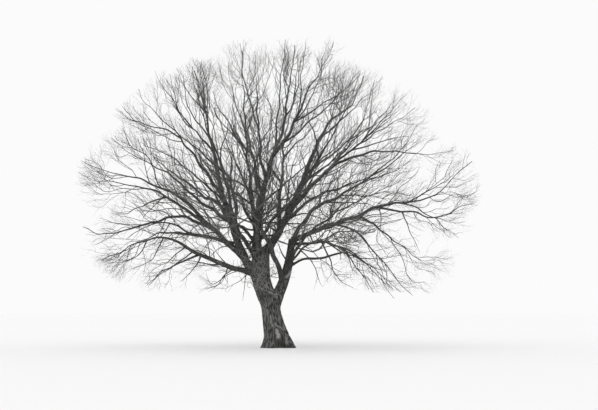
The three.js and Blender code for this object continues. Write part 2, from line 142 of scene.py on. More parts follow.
LIMBS = {
    "west_stem": dict(
        foot=(-.16, 0, 2.25), bearing=(180,),
        rise=(62, 80, 90, 92),
        tip=.94, length=2.23, girth=.84, bare=1),
    "east_stem": dict(
        foot=(.19, -.02, 2.15), bearing=(0,),
        rise=(58, 70, 74, 84, 82),
        tip=.55, length=2.9, girth=.56, bare=1),
    "west_limb": dict(
        born="west_stem", at=.44, aside=(-.2, 0), bearing=(180, 184, 176),
        rise=(50, 66, 70, 72, 80, 78, 80, 84),
        length=10.1, girth=.44, bare=.58, lift=.6),
    "west_low_limb": dict(
        born="west_stem", at=.5, aside=(-.28, -.06), bearing=(186, 178),
        rise=(24, 18, 20, 28, 8, -12, -32, -22),
        length=7.5, girth=.29, bare=.48, lift=-.45),
    "west_mid_limb": dict(
        born="west_limb", at=.1, bearing=(182, 172),
        rise=(42, 38, 44, 33, 18, 14, 36),
        length=9, girth=.29, bare=.5, lift=.3),
    "west_fork_limb": dict(
        born="west_mid_limb", at=.27, bearing=(203, 197),
        rise=(22, 30, 24, 14, 6, 30),
        length=6.3, girth=.17, bare=.42, lift=.1),
    "west_back_low_limb": dict(
        born="west_mid_limb", at=.14, bearing=(152, 160),
        rise=(14, 14, 3, -18, -28, -26),
        length=6.7, girth=.17, bare=.42, lift=-.35),
    "northwest_limb": dict(
        born="west_limb", at=.36, bearing=(200, 192),
        rise=(56, 62, 50, 48, 38, 42, 64),
        length=6.6, girth=.2, bare=.46, lift=.6),
    "west_high_limb": dict(
        born="west_limb", at=.27, bearing=(222, 212),
        rise=(34, 30, 33, 20, 26, 34),
        length=7, girth=.19, bare=.45, lift=.4),
    "west_back_limb": dict(
        born="west_limb", at=.3, bearing=(134, 142),
        rise=(52, 20, 33, 30, 36, 54),
        length=8, girth=.21, bare=.45, lift=.4),
    "northwest_fork_limb": dict(
        born="west_limb", at=.57, bearing=(170, 178),
        rise=(62, 42, 50, 68, 64),
        length=4.7, girth=.12, bare=.34, lift=.7),
    "leader": dict(
        born="west_stem", at=.97, aside=(-.23, 0), bearing=(0,),
        rise=(98, 84, 76, 78, 72, 74, 82, 84, 88, 91),
        length=9.8, girth=.39, bare=.54, lift=.8),
    "front_west_limb": dict(
        born="west_stem", at=.9, aside=(-.3, -.16), bearing=(232, 250),
        rise=(34, 58, 66, 52, 46, 60, 70),
        length=9.3, girth=.23, bare=.48, lift=.5),
    "front_high_limb": dict(
        born="leader", at=.1, aside=(-.06, -.06), bearing=(258, 268),
        rise=(64, 66, 68, 70, 80),
        length=8.2, girth=.22, bare=.5, lift=.6),
    "back_high_limb": dict(
        born="leader", at=.27, bearing=(116, 128),
        rise=(56, 64, 60, 76),
        length=7.8, girth=.19, bare=.42, lift=.6),
    "leader_west_fork": dict(
        born="leader", at=.34, bearing=(200,),
        rise=(74, 84, 80, 88, 80, 92),
        length=5.9, girth=.17, bare=.4, lift=.8),
    "leader_east_fork": dict(
        born="leader", at=.46, bearing=(-12, -6),
        rise=(50, 60, 72, 58, 60, 74),
        length=6, girth=.19, bare=.42, lift=.7),
    "east_high_limb": dict(
        born="west_stem", at=.97, aside=(.24, 0), bearing=(10, 24, 36),
        rise=(60, 58, 70, 64, 70, 56, 42, 46, 72),
        length=10.2, girth=.4, bare=.5, lift=.6),
    "back_center_limb": dict(
        born="east_high_limb", at=.1, aside=(0, .06), bearing=(88, 72),
        rise=(56, 66, 60, 52, 68),
        length=9.4, girth=.23, bare=.48, lift=.5),
    "front_east_limb": dict(
        born="east_high_limb", at=.18, aside=(0, -.06), bearing=(296, 312),
        rise=(52, 38, 40, 46, 62),
        length=8.1, girth=.19, bare=.48, lift=.5),
    "east_rising_limb": dict(
        born="east_high_limb", at=.24, bearing=(-10, -16),
        rise=(50, 46, 50, 40, 38, 26, 24, 46),
        length=7.2, girth=.23, bare=.5, lift=.5),
    "east_level_limb": dict(
        born="east_rising_limb", at=.3, bearing=(-20, -8),
        rise=(38, 8, -4, 0, 6),
        length=6.1, girth=.16, bare=.42, lift=.2),
    "back_east_limb": dict(
        born="east_high_limb", at=.15, bearing=(56, 44),
        rise=(30, 26, 16, 22, 34),
        length=8.7, girth=.2, bare=.45, lift=.2),
    "east_limb": dict(
        born="east_stem", at=.98, bearing=(0, -4),
        rise=(14, 26, 20, 23, 12, 9, 26, 46, 40),
        length=9.2, girth=.27, bare=.52, lift=.2),
    "east_low_limb": dict(
        born="east_stem", at=.92, aside=(.06, -.06), bearing=(-14, -22),
        rise=(4, 0, -14, -40, -52, -46),
        length=5.7, girth=.17, bare=.36, lift=-.45),
    "east_drooping_limb": dict(
        born="east_limb", at=.36, bearing=(24, 12),
        rise=(-20, -32, -42, -40, -30, -8),
        length=4.8, girth=.12, bare=.3, lift=-.35),
    "east_upper_limb": dict(
        born="east_stem", at=.95, aside=(0, .1), bearing=(14, 6),
        rise=(64, 46, 30, 28, 28, 36, 50, 66),
        length=8.4, girth=.22, bare=.5, lift=.4),
    "inner_front_limb": dict(
        born="east_stem", at=.34, aside=(-.06, -.1), bearing=(232, 244),
        rise=(74, 56, 50, 54, 48, 60),
        length=8.8, girth=.26, bare=.5, lift=.3),
    "dead_limb": dict(
        born="east_stem", at=.56, aside=(.04, 0), bearing=(-6,),
        rise=(28, 26, 10, 2, 16),
        tip=.55, length=2.5, girth=.14, bare=1),
    "front_low_limb": dict(
        born="west_stem", at=.72, aside=(0, -.06), bearing=(268, 280),
        rise=(46, 36, 22, 20, 34),
        length=9.5, girth=.21, bare=0, lift=.2),
    "back_low_limb": dict(
        born="west_stem", at=.72, aside=(0, .06), bearing=(98, 88),
        rise=(42, 30, 18, 12, 26),
        length=9.6, girth=.21, bare=0, lift=.1),
    "front_east_low_limb": dict(
        born="east_stem", at=.6, aside=(0, -.04), bearing=(306, 318),
        rise=(40, 44, 26, 16, 4, -16),
        length=8.2, girth=.17, bare=0, lift=-.2),
}

# %% [markdown]
# Everything that looks random here is drawn from whole numbers that are stirred: shift, combine and
# multiply, all in 32 bits. A library's random numbers would depend on the order in which they are asked
# for. Here the same seed and number always give the same draw, so the limbs sway here as they do in the
# model. Numpy's 32-bit arrays wrap round as the stirring needs.

# %% Seeded draws
STIR = np.uint32(0x45D9F3B)
STRIDE = np.uint32(0x9E3779B1)  # from one number's seed to the next one's


def stir(number):
    """Twice: the number is combined with its own upper half and multiplied by STIR. Then combined again."""
    number = np.atleast_1d(np.asarray(number)).astype(np.uint32)
    number = (number ^ (number >> 16)) * STIR
    number = (number ^ (number >> 16)) * STIR
    return number ^ (number >> 16)


def seed_of(seed, number):
    """The seed plus (number + 1) strides, stirred."""
    steps = (np.atleast_1d(np.asarray(number)) + 1).astype(np.uint32)
    return stir(np.atleast_1d(np.asarray(seed)).astype(np.uint32) + steps * STRIDE)


def draw(seed, number):
    """A share from 0 to 1: the stirred number over 2 to the 32."""
    return seed_of(seed, number) / 2.0**32


def even(seed, number):
    """From -1 to 1: twice the draw, less 1."""
    return 2 * draw(seed, number) - 1


print("draws:", np.round(draw(7, np.arange(4)), 3))

# %% [markdown]
# Noise gives wood its unevenness. A cell of space has a seeded direction at each corner. A point takes
# from each corner the product of that direction with its own offset, and the eight are blended smoothly.
# Blender has such a noise for textures. It is written out here because meshes are shaped by it as well.

# %% Noise
UP = np.array([0.0, 0.0, 1.0])
CELL_PRIMES = (73856093, 19349663, 83492791)  # one for each axis, to number a cell
SEED_PRIME = 7919
BITS_32 = 0xFFFFFFFF
BITS_10 = 0x3FF
NOISE_GAIN = 1.3  # that brings the sum to about -1 to 1


def unit(vectors):
    """Each vector over its own length."""
    return vectors / np.maximum(np.linalg.norm(vectors, axis=-1, keepdims=True), 1e-12)


def noise(places, seed):
    """About -1 to 1. The sum over a cell's corners of blend x (seeded direction . offset), where the
    blend along each axis is 6t^5 - 15t^4 + 10t^3."""
    low = np.floor(places)
    part = places - low
    low = low.astype(np.int64)
    blend = part**3 * (part * (part * 6 - 15) + 10)
    total = np.zeros(len(places))
    for corner in np.ndindex(2, 2, 2):
        cell = low + corner
        key = np.bitwise_xor.reduce(cell * CELL_PRIMES, axis=1) & BITS_32
        hashed = stir((key + seed * SEED_PRIME) & BITS_32)
        directions = np.stack([(hashed >> shift) & BITS_10 for shift in (0, 10, 20)], 1) / (BITS_10 / 2) - 1
        weight = np.prod(np.where(corner, blend, 1 - blend), axis=1)
        total += weight * np.sum(directions * (part - corner), axis=1)
    return total * NOISE_GAIN


print("noise:", np.round(noise(np.array([[0.5, 0.2, 0.1], [3.7, 1.2, 8.8]]), 1), 3))

# %% [markdown]
# A limb's middle line is made as in the model: straight steps, each along the limb's heading there with
# a seeded sway. A real limb has no corners, so a Catmull-Rom curve is laid through the same points, and a
# noise bends it by up to about 11 cm to each side. Blender's curve objects could hold such lines, but as
# arrays they can also be measured, for bark to follow and twigs to start from.

# %% Lines of the limbs
PARTS = 12  # that each step of a line is cut into
SWERVE = 0.11  # how far a limb swerves to a side, off its smooth course
SWERVE_LONG = 0.75  # along the limb, from one swerve to the next
SWERVE_START = 1.0  # length that a limb takes to reach its own swerve
SWERVE_LOST = 1.2  # and to lose the one that it has from what bears it
AXIS_GAP = 9.1  # between the places where the noise is read for x, y and z
SWERVE_NOISE = 3  # seed


def heading(bearing, rise):
    """(cos rise cos bearing, cos rise sin bearing, sin rise)."""
    turn, climb = np.radians(bearing), np.radians(rise)
    return np.stack([np.cos(climb) * np.cos(turn), np.cos(climb) * np.sin(turn), np.sin(climb)], -1)


def thickness(limb, shares):
    """Radius. A limb that ends as a stump thins evenly, and any other goes as (1 - share) to TAPER."""
    if "tip" in limb:
        return limb["girth"] / 2 * (1 + (limb["tip"] - 1) * shares)
    return limb["girth"] / 2 * np.maximum(TIP, (1 - shares) ** TAPER)


def smooth(points, parts):
    """Catmull-Rom: between b and c, with a before and d after, half of
    2b + (c - a)t + (2a - 5b + 4c - d)t^2 + (3b - 3c + d - a)t^3."""
    ends = np.vstack([2 * points[0] - points[1], points, 2 * points[-1] - points[-2]])
    a, b, c, d = (ends[i : len(ends) - 3 + i, None] for i in range(4))
    t = np.arange(parts)[None, :, None] / parts
    curve = (2 * b + (c - a) * t + (2 * a - 5 * b + 4 * c - d) * t**2 + (3 * b - 3 * c + d - a) * t**3) / 2
    return np.vstack([curve.reshape(-1, 3), points[-1]])


def read_along(places, marks, points):
    """x, y and z at each place, in even parts between the points that stand at the marks."""
    return np.stack([np.interp(places, marks, points[:, i]) for i in range(3)], -1)


def walked(curve):
    """Distance along a curve, from its foot to each of its points."""
    return np.concatenate([[0], np.cumsum(np.linalg.norm(np.diff(curve, axis=0), axis=1))])


def limb_line(name, limb, number):
    """Shares at even places along the bough and along the mass, a heading for each step, and the steps
    added up from the foot. A depth moves each step back too, by that share of its length. The curve is
    smooth(points) + what is left of the bearer's swerve + SWERVE x noise."""
    bare, length = limb["bare"], limb["length"]
    bough_steps = 0 if bare == 0 else max(LEAST_STEPS, int(bare * length / STEP + 0.5))
    mass_steps = 0 if bare == 1 else AXIS_STEPS
    mass_shares = np.linspace(bare, 1, mass_steps + 1)[1:]
    shares = np.concatenate([np.linspace(0, bare, bough_steps + 1), mass_shares])
    middles = (shares[1:] + shares[:-1]) / 2
    steps = np.arange(1, len(shares))
    sway = 0 if "foot" in limb else SWAY
    bearing = np.interp(middles, np.linspace(0, 1, len(limb["bearing"])), limb["bearing"])
    rise = np.interp(middles, np.linspace(0, 1, len(limb["rise"])), limb["rise"])
    ways = heading(bearing + sway * even(number, 2 * steps), rise + sway * even(number, 2 * steps + 1))
    ways = ways + np.array([0, limb.get("depth", 0), 0])
    foot = np.array(limb["foot"]) if "foot" in limb else place_on(lines[limb["born"]], limb["at"])
    foot = foot + np.array([*limb.get("aside", (0, 0)), 0])
    points = np.vstack([foot, foot + np.cumsum(ways * length * np.diff(shares)[:, None], axis=0)])
    fine = np.interp(np.arange(len(steps) * PARTS + 1) / PARTS, np.arange(len(shares)), shares)
    curve = smooth(points, PARTS)
    far = walked(curve)
    shift = np.zeros(3) if "foot" in limb else swerve_at(lines[limb["born"]], limb["at"])
    swerve = shift * np.exp(-((far / SWERVE_LOST) ** 2))[:, None]
    if "foot" not in limb:
        bends = []
        for axis in range(3):
            places = np.stack([far / SWERVE_LONG, far * 0 + AXIS_GAP * axis + number, far * 0], 1)
            bends.append(noise(places, SWERVE_NOISE))
        swerve = swerve + SWERVE * np.minimum(1, far / SWERVE_START)[:, None] * np.stack(bends, 1)
    return {
        "name": name, "limb": limb, "number": number, "points": points, "shares": shares,
        "bough_steps": bough_steps, "curve": curve + swerve, "fine": fine, "swerve": swerve,
        "radii": thickness(limb, fine),
    }


def place_on(line, share):
    """The point at a share along the straight steps of a line."""
    return read_along(share, line["shares"], line["points"])


def swerve_at(line, share):
    """How far the line's curve has swerved from its smooth course at a share."""
    return read_along(share, line["fine"], line["swerve"])


lines = {}
for number, (name, limb) in enumerate(LIMBS.items()):
    lines[name] = limb_line(name, limb, number)
total_length = sum(limb["length"] for limb in LIMBS.values())
print("limbs:", len(lines), "total length:", round(total_length, 1), "m")

# %% [markdown]
# Between the limbs and the twigs come side boughs, 3 to 18 cm thick at the foot. Most get a course of
# their own, in the same words as the limbs'. That is the course as seen from the front. Each also leaves
# the front view's plane, to the back or to the front in turn, because a crown that grew in one plane would
# look thin from the side. The limbs of the front and back bear theirs in pairs, by a small rule.

# %% Side boughs
SIDE_BOUGHS = {  # born of, at, bearing, rises, length, girth, lift, tip
    "west_arch": (
        "west_mid_limb", .2, 184, (37, 30, 20, -6, -25, -17, -15, -8, -8, 5, 38), 6.6, .16, -.2, .1),
    "second_arch": (
        "west_back_low_limb", .2, 172, (5, 20, 30, 15, 3, -15, -35, -30, -25), 3.7, .11, -.4, .1),
    "short_arch": ("west_back_low_limb", .2, 190, (5, 0, -5, -25, -45), 2, .09, -.5, .15),
    "low_sweep": ("west_low_limb", .36, 188, (8, -20, -28, -25, -35, -40, -5), 2.6, .11, -.5, .1),
    "low_drop": ("west_low_limb", .35, 170, (-45, -65, -50, -45, -60), 1.6, .075, -.5, .1),
    "long_drop": ("west_low_limb", .4, 192, (-30, -40, -45, -50, -35), 2.5, .07, -.5, .1),
    "shoulder_bough": ("west_low_limb", .2, 196, (-15, -5, 0, 35, 0, -8), 1.8, .09, -.4, .15),
    "shoulder_drop": ("west_low_limb", .13, 190, (-38, -45, -55, -20, 0), 1.7, .06, -.4, .12),
    "hooked_drop": ("west_low_limb", .17, 176, (-65, -58, -50, 0, 45, 65), 1.8, .055, -.2, .12),
    "trunk_drop": ("west_low_limb", .05, 200, (-70, -88, -92, -85), 1.3, .05, -.3, .15),
    "trunk_sweep": ("west_low_limb", .04, 184, (-50, -40, -18, 0), 1.9, .04, -.2, .12),
    "first_hook": ("west_low_limb", .7, 186, (-60, -65, -35, -18, 25), 2, .06, -.3, .12),
    "second_hook": ("west_low_limb", .6, 178, (-58, -60, -45, -35, 30), 2.2, .06, -.3, .12),
    "third_hook": ("west_low_limb", .45, 190, (-35, -42, -38, -35), 2.3, .06, -.4, .12),
    "fork_sweep": ("west_fork_limb", .35, 182, (-30, -12, -15, -25, -20, 10), 2.7, .08, -.3, .1),
    "fork_drop": ("west_fork_limb", .37, 194, (-45, -48, -50, -45), 1.5, .06, -.4, .12),
    "kinked_bough": ("west_limb", .17, 184, (20, 15, 50, 5, 0), 1.8, .12, .1, .35),
    "twin_stem": ("west_limb", .22, 190, (80, 96, 87, 83, 79, 68, 84, 100, 102, 96), 5, .16, .6, .1),
    "broken_bough": ("leader", .1, 200, (40, 54, 74, 54, 56, 72), 2, .15, .5, .75),
    "rising_bough": ("east_stem", .47, -8, (48, 63, 50, 27, 27, 18, 5), 2.7, .15, -.3, .1),
    "rising_drop": ("rising_bough", .42, 6, (-50, -50, -68, -45, -90), 1.9, .06, -.3, .15),
    "low_east_drop": ("east_low_limb", .24, -10, (-70, -70, -76, -65, -30, -20), 2.6, .08, -.3, .12),
    "fan_first": ("east_low_limb", .4, -24, (-45, -60, -55), 1.6, .07, -.4, .12),
    "fan_second": ("east_low_limb", .38, 8, (-25, -27, -25, -40, -45, -40), 3.5, .08, -.4, .1),
    "fan_third": ("east_low_limb", .44, -6, (-50, -52, -65, -45), 2.4, .07, -.4, .12),
    "fan_fourth": ("east_low_limb", .3, 12, (-30, -25, -15, -5, 18, 5), 3.7, .08, -.2, .1),
    "long_fan": ("east_limb", .23, -14, (-10, -20, -40, -55, -50, -48, -50, -60, -45, -45), 5, .1, -.4, .1),
    "end_droop": ("east_limb", .58, -10, (-35, -20, -48, -30, -45, -40, -15), 3, .08, -.3, .1),
    "level_end": ("east_limb", .46, -8, (-3, -4, 0, -5, -20, 3, 4, 30, 15, 0), 4.8, .11, -.1, .1),
    "middle_end": ("east_limb", .62, 6, (26, 27, 30, 38, 30), 2.6, .07, .2, .1),
    "level_drop": ("level_end", .25, 0, (-66, -67, -60, -63), 2, .06, -.3, .12),
    "thin_drop": ("east_limb", .47, 10, (-75, -88, -92), 1.5, .05, -.3, .12),
    "upper_level": ("east_upper_limb", .3, -6, (0, -5, 8, -25, -30), 2.7, .09, -.3, .1),
    "upper_sister": ("east_upper_limb", .6, -8, (12, 35, 38, 50, 20), 2.9, .08, .3, .1),
    "upper_sweep": ("east_upper_limb", .4, 10, (0, -3, 3, 45, 50, 30), 3.7, .07, .2, .1),
    "dead_twig": ("dead_limb", .98, 10, (-88, -80), .34, .03, 0, .3),
    "high_first": ("west_limb", .8, 188, (78, 80, 80, 82), 2.5, .08, .7, .1),
    "high_second": ("west_limb", .74, 172, (100, 88, 80, 86), 2.8, .07, .7, .1),
    "high_third": ("west_limb", .68, 184, (55, 45, 65, 78, 85), 3.5, .08, .7, .1),
    "northwest_level": ("northwest_limb", .56, 188, (30, 12, 15, 25, 35), 3.1, .08, .3, .1),
    "northwest_fork": ("northwest_fork_limb", .42, 190, (48, 60, 72, 68), 3.1, .075, .6, .1),
    "northwest_inner": ("northwest_fork_limb", .62, 176, (60, 55, 70), 2.2, .06, .6, .1),
    "high_fourth": ("west_limb", .8, 192, (52, 48, 60, 72), 2.7, .07, .7, .1),
    "fork_tip": ("leader_west_fork", .4, 186, (80, 68, 78, 82, 84), 3.8, .09, .8, .1),
    "front_tip": ("front_high_limb", .4, 196, (65, 70, 78, 82, 86), 3.8, .08, .7, .1),
    "leader_tip": ("leader", .5, 4, (85, 80, 86, 92, 84, 90), 4.6, .1, .8, .1),
    "leader_side": ("leader", .65, -6, (65, 70, 75, 82, 92), 3.3, .08, .8, .1),
    "fork_side": ("leader_east_fork", .3, 8, (45, 60, 70, 74, 74), 3.3, .07, .7, .1),
    "high_east_side": ("east_high_limb", .6, -6, (45, 38, 42, 45, 42), 3.6, .09, .5, .1),
    "rising_side": ("east_rising_limb", .5, 6, (42, 43, 42, 50), 3.2, .08, .5, .1),
    "long_east_side": ("east_high_limb", .4, -12, (45, 37, 36, 31, 37, 37), 5.2, .11, .5, .1),
    "sweep_first": ("leader_east_fork", .12, -10, (30, 42, 30, 38, 44, 32), 4.6, .1, .5, .1),
    "sweep_second": ("east_high_limb", .4, 20, (50, 46, 42, 58, 46), 3.9, .09, .5, .1),
    "sweep_third": ("leader_east_fork", .3, 14, (24, 34, 28, 36, 44), 3.8, .08, .5, .1),
    "sweep_fourth": ("east_rising_limb", .36, 20, (42, 50, 46, 40, 52), 3.9, .09, .5, .1),
    "crown_first": ("leader_east_fork", .36, 20, (84, 86, 80, 88), 3.2, .07, .8, .1),
    "crown_second": ("leader_side", .3, 170, (96, 88, 92), 2.4, .06, .8, .1),
    "upper_rising": ("east_upper_limb", .5, 4, (20, 12, 18, 30, 45), 3.2, .07, .3, .1),
    "arch_hook_first": ("west_arch", .38, 184, (-58, -62, -40, -20), 1.7, .05, -.3, .12),
    "arch_hook_second": ("second_arch", .42, 190, (-62, -60, -35, 0), 1.8, .05, -.3, .12),
    "sweep_fifth": ("long_east_side", .5, 10, (50, 54, 48, 58), 2.8, .07, .5, .1),
    "sweep_sixth": ("rising_side", .3, -12, (52, 48, 58, 50), 2.6, .06, .5, .1),
    "sweep_seventh": ("east_rising_limb", .6, 12, (50, 54, 46, 52), 3, .07, .5, .1),
    "level_rising": ("east_rising_limb", .52, -16, (14, 8, 6, 10, -4), 2.6, .08, .1, .1),
    "heart_west": ("leader", .03, 200, (61, 39, 35, 58, 60, 55, 50), 4.4, .17, .4, .1),
    "heart_first": ("east_high_limb", .08, 20, (66, 70, 72, 84, 80), 3.4, .13, .5, .1),
    "heart_second": ("leader", .22, -6, (50, 44, 48, 40, 46), 4.2, .11, .5, .1),
    "heart_third": ("leader", .05, -20, (20, 8, 15, 30), 2.2, .1, .2, .12),
    "heart_fourth": ("east_stem", .62, 156, (44, 58, 60), 1.5, .08, .3, .12),
    "heart_fifth": ("leader", .04, 6, (52, 58, 44, 42, 38), 4.5, .18, .5, .1),
    "thicket_first": ("east_stem", .4, 196, (56, 66, 40), 1.2, .08, .2, .12),
    "thicket_second": ("east_high_limb", .1, 164, (26, 48, 72), 1.4, .09, .4, .12),
    "thicket_third": ("leader", .03, 184, (34, 8, -12, 20), 1.4, .08, 0, .12),
    "thicket_fourth": ("front_east_limb", .04, 176, (20, 34, 60, 50), 1.6, .08, .3, .12),
    "heart_level": ("leader", .13, -14, (12, -3, 0, -8, -12), 3.2, .11, -.2, .1),
    "heart_arch": ("east_high_limb", .17, 16, (40, 15, -10, -20, -25), 2.4, .09, -.3, .12),
    "heart_crossing": ("front_west_limb", .06, -34, (55, 57, 65, 55, 60), 3, .12, .4, .12),
    "cross_first": ("west_limb", .09, 10, (35, 33, 15, -10), 1.4, .06, .1, .15),
    "cross_second": ("west_limb", .15, 0, (2, 8, 10, -30), 1.4, .06, -.1, .15),
    "cross_third": ("west_limb", .22, 5, (10, -15, -10), 1.1, .055, -.1, .15),
    "mid_first": ("west_mid_limb", .1, 200, (0, -25, -50, -60), 1.4, .06, -.4, .12),
    "mid_second": ("west_mid_limb", .18, 176, (-20, -45, -60, -70), 1.6, .06, -.4, .12),
    "mid_third": ("west_mid_limb", .28, 192, (-10, -40, -55, -65), 1.7, .06, -.4, .12),
    "mid_fourth": ("west_mid_limb", .24, 168, (60, 75, 66, 60), 1.9, .06, .4, .12),
    "low_rising": ("west_low_limb", .16, 170, (40, 55, 50, 60), 1.5, .06, .2, .12),
    "low_second": ("west_low_limb", .27, 196, (55, 30, 20, 0, -20), 2, .06, -.1, .12),
    "long_west_side": ("west_limb", .38, 188, (45, 42, 38, 25, 20), 4.8, .11, .4, .1),
}
FILLED = {  # limbs of the front and back, with the rise and lift of the pair of boughs that each bears
    "front_low_limb": (20, .1), "front_west_limb": (44, .5), "front_high_limb": (52, .6),
    "front_east_limb": (36, .4), "front_east_low_limb": (14, -.2), "inner_front_limb": (42, .3),
    "back_low_limb": (18, 0), "back_center_limb": (46, .5), "back_high_limb": (50, .6),
    "back_east_limb": (22, .2),
}
PAIR = (("_left", .3, 44, .44), ("_right", .46, -42, .38))  # name, at, turn, share of the limb's length
PAIR_BENDS = (-14, 2, -6, 8, 16)  # degrees that the rise changes by, from foot to tip
PAIR_GIRTH = PAIR_TIP = .1
OWN_COURSE = list(SIDE_BOUGHS)
DEPTH = (0.15, 0.45)  # how far they leave the front view's plane for their length, least and most
DEPTH_STEP = 0.618  # of the way from least to most, round and round, from each to the next
SIDE_NUMBERS = 100  # where the numbers of the side boughs start, clear of the limbs'

for name, (rise, lift) in FILLED.items():
    for side, at, turn, share in PAIR:
        course = tuple(rise + bend for bend in PAIR_BENDS)
        bearing = LIMBS[name]["bearing"][0] + turn
        length = share * LIMBS[name]["length"]
        SIDE_BOUGHS[name + side] = (name, at, bearing, course, length, PAIR_GIRTH, lift, PAIR_TIP)
for number, (name, course) in enumerate(SIDE_BOUGHS.items()):
    keys = ("born", "at", "bearing", "rise", "length", "girth", "lift", "tip")
    limb = dict(zip(keys, course), bare=1)
    limb["bearing"] = (limb["bearing"],)
    if name in OWN_COURSE:
        limb["depth"] = (-1) ** number * np.interp(number * DEPTH_STEP % 1, (0, 1), DEPTH)
    lines[name] = limb_line(name, limb, SIDE_NUMBERS + number)


def main_limb(name):
    """The limb of the model that a side bough grows from, straight or by way of another."""
    while name not in LIMBS:
        name = lines[name]["limb"]["born"]
    return name


print("side boughs:", len(SIDE_BOUGHS))

# %% [markdown]
# A twig is a thin tube that ends in a point. The corners of thousands of twigs are worked out together:
# round each point of each twig's line stand the same few corners, in the plane square to the line. Each
# tube has its foot closed by a flat face, and its faces look outwards. A bevelled curve would give a tube
# too, but one by one, and with less say in how many faces it has.

# %% Tubes
def across(curves, lean):
    """Two directions square to each curve. The first is lean less (lean . along) along, and the second is
    along x first, where along is the curve's own direction."""
    along = np.empty_like(curves)
    along[:, 1:-1] = curves[:, 2:] - curves[:, :-2]
    along[:, 0] = curves[:, 1] - curves[:, 0]
    along[:, -1] = curves[:, -1] - curves[:, -2]
    along = unit(along)
    first = unit(lean[:, None] - np.sum(lean[:, None] * along, -1, keepdims=True) * along)
    return first, np.cross(along, first)


def tube_faces(count, rings, sides, pointed):
    """Triangles of count tubes, each with its rings of corners and then, if pointed, its tip. Each ring is
    joined to the next by two triangles a side, and the ends are closed."""
    ring, side = np.meshgrid(np.arange(rings - 1), np.arange(sides), indexing="ij")
    low = (ring * sides + side).ravel()
    low_next = (ring * sides + (side + 1) % sides).ravel()
    walls = np.concatenate([
        np.stack([low, low_next, low_next + sides], 1), np.stack([low, low_next + sides, low + sides], 1),
    ])
    fan = np.arange(1, sides - 1)
    foot = np.stack([0 * fan, fan + 1, fan], 1)
    last = (rings - 1) * sides
    if pointed:
        around = np.arange(sides)
        end = np.stack([last + around, last + (around + 1) % sides, 0 * around + last + sides], 1)
    else:
        end = np.stack([0 * fan + last, last + fan, last + fan + 1], 1)
    one = np.concatenate([walls, foot, end])
    corners = rings * sides + int(pointed)
    return (one[None] + np.arange(count)[:, None, None] * corners).reshape(-1, 3)


def tube_corners(curves, radii, lean, sides, pointed):
    """curve + radius (cos angle first + sin angle second), for evenly spaced angles. With a pointed end
    the last point of the curve is the tip."""
    first, second = across(curves, lean)
    angles = np.arange(sides) * 2 * np.pi / sides
    around = np.cos(angles)[:, None] * first[:, :, None]
    around = around + np.sin(angles)[:, None] * second[:, :, None]
    rings = curves[:, :, None] + radii[:, :, None, None] * around
    if not pointed:
        return rings.reshape(-1, 3)
    count = len(curves)
    return np.concatenate([rings[:, :-1].reshape(count, -1, 3), curves[:, -1:]], 1).reshape(-1, 3)


def make_piece(name, corners, faces, finishes, picks=None):
    """A mesh object at the origin with these corners, triangles and finishes, shaded smooth."""
    mesh = bpy.data.meshes.new(name)
    mesh.vertices.add(len(corners))
    mesh.vertices.foreach_set("co", corners.astype(np.float32).ravel())
    mesh.loops.add(faces.size)
    mesh.loops.foreach_set("vertex_index", faces.astype(np.int32).ravel())
    mesh.polygons.add(len(faces))
    mesh.polygons.foreach_set("loop_start", np.arange(0, faces.size, 3, dtype=np.int32))
    mesh.update(calc_edges=True)
    for finish in finishes:
        mesh.materials.append(finish)
    if picks is not None:
        mesh.polygons.foreach_set("material_index", picks.astype(np.int32))
    mesh.polygons.foreach_set("use_smooth", np.ones(len(faces), bool))
    mesh.update()
    piece = bpy.data.objects.new(name, mesh)
    bpy.context.scene.collection.objects.link(piece)
    return piece

# %% [markdown]
# Old bark splits as the wood under it thickens. The splits run up the limb and join and part again, so
# they leave long plates. The zero lines of a noise that is drawn out along the limb do just that: close
# to zero there is a groove, and the plates lie between. The places that the noise reads lie on a
# cylinder, so the pattern closes round the limb with no seam, and each limb reads its own part of it.

# %% Bark
PLATE_WIDE = 0.075  # of a plate on the trunk, and on limbs as they thin it narrows
PLATE_LONG = 0.36
GROOVE = 0.022  # depth of the deepest grooves of the trunk
TRUNK_RADIUS = 0.4
LINE_WIDTH = 0.16  # of the noise, within which a place counts as groove
CRACKS = dict(finer=2.3, width=0.12, part=0.2)  # of the plates themselves
BARK_NOISE = 1  # seed, and the two further on are for the bent lines and the cracks
BENT_NOISE, CRACK_NOISE = BARK_NOISE + 40, BARK_NOISE + 80


def plate_size(radius):
    """Share of the trunk's plate width: 0.22 + radius / 0.42, from a quarter on thin limbs to 1."""
    return np.clip(0.22 + radius / 0.42, 0.25, 1)


def bark(grain, size):
    """From 0 in a groove to 1 on a plate: 1 - exp(-(n / LINE_WIDTH)^2), for a noise n of the grain's places
    that is drawn out along the limb, with its lines bent by a wider noise. A finer noise cracks the
    plates in the same way, to a fifth of their height."""
    scale = size[:, None] * np.array([PLATE_WIDE, PLATE_WIDE, PLATE_LONG])
    bent = grain + 0.05 * size[:, None] * noise(grain / (2.5 * scale), BENT_NOISE)[:, None]
    wide = noise(bent / scale, BARK_NOISE)
    narrow = noise(bent / scale * CRACKS["finer"], CRACK_NOISE)
    plates = 1 - np.exp(-((wide / LINE_WIDTH) ** 2))
    cracked = 1 - np.exp(-((narrow / CRACKS["width"]) ** 2))
    return plates * (1 - CRACKS["part"] + CRACKS["part"] * cracked)


def groove_depth(radius):
    """GROOVE x min(1, (radius / TRUNK_RADIUS)^0.9): less deep on thinner limbs."""
    return GROOVE * np.minimum(1, (radius / TRUNK_RADIUS) ** 0.9)


print("groove on the trunk:", GROOVE * 1000, "mm")

# %% [markdown]
# The trunk is an oval column that leans and widens to its fork. Toes of root swell out of its foot: each
# adds to the column's outline towards its own bearing and fades with height. The grid has a row for each
# level and a column for each bearing, and the top is rounded over. It could be sculpted by hand, but a
# formula can be asked again: the bark has to know how far out the column's outside lies.

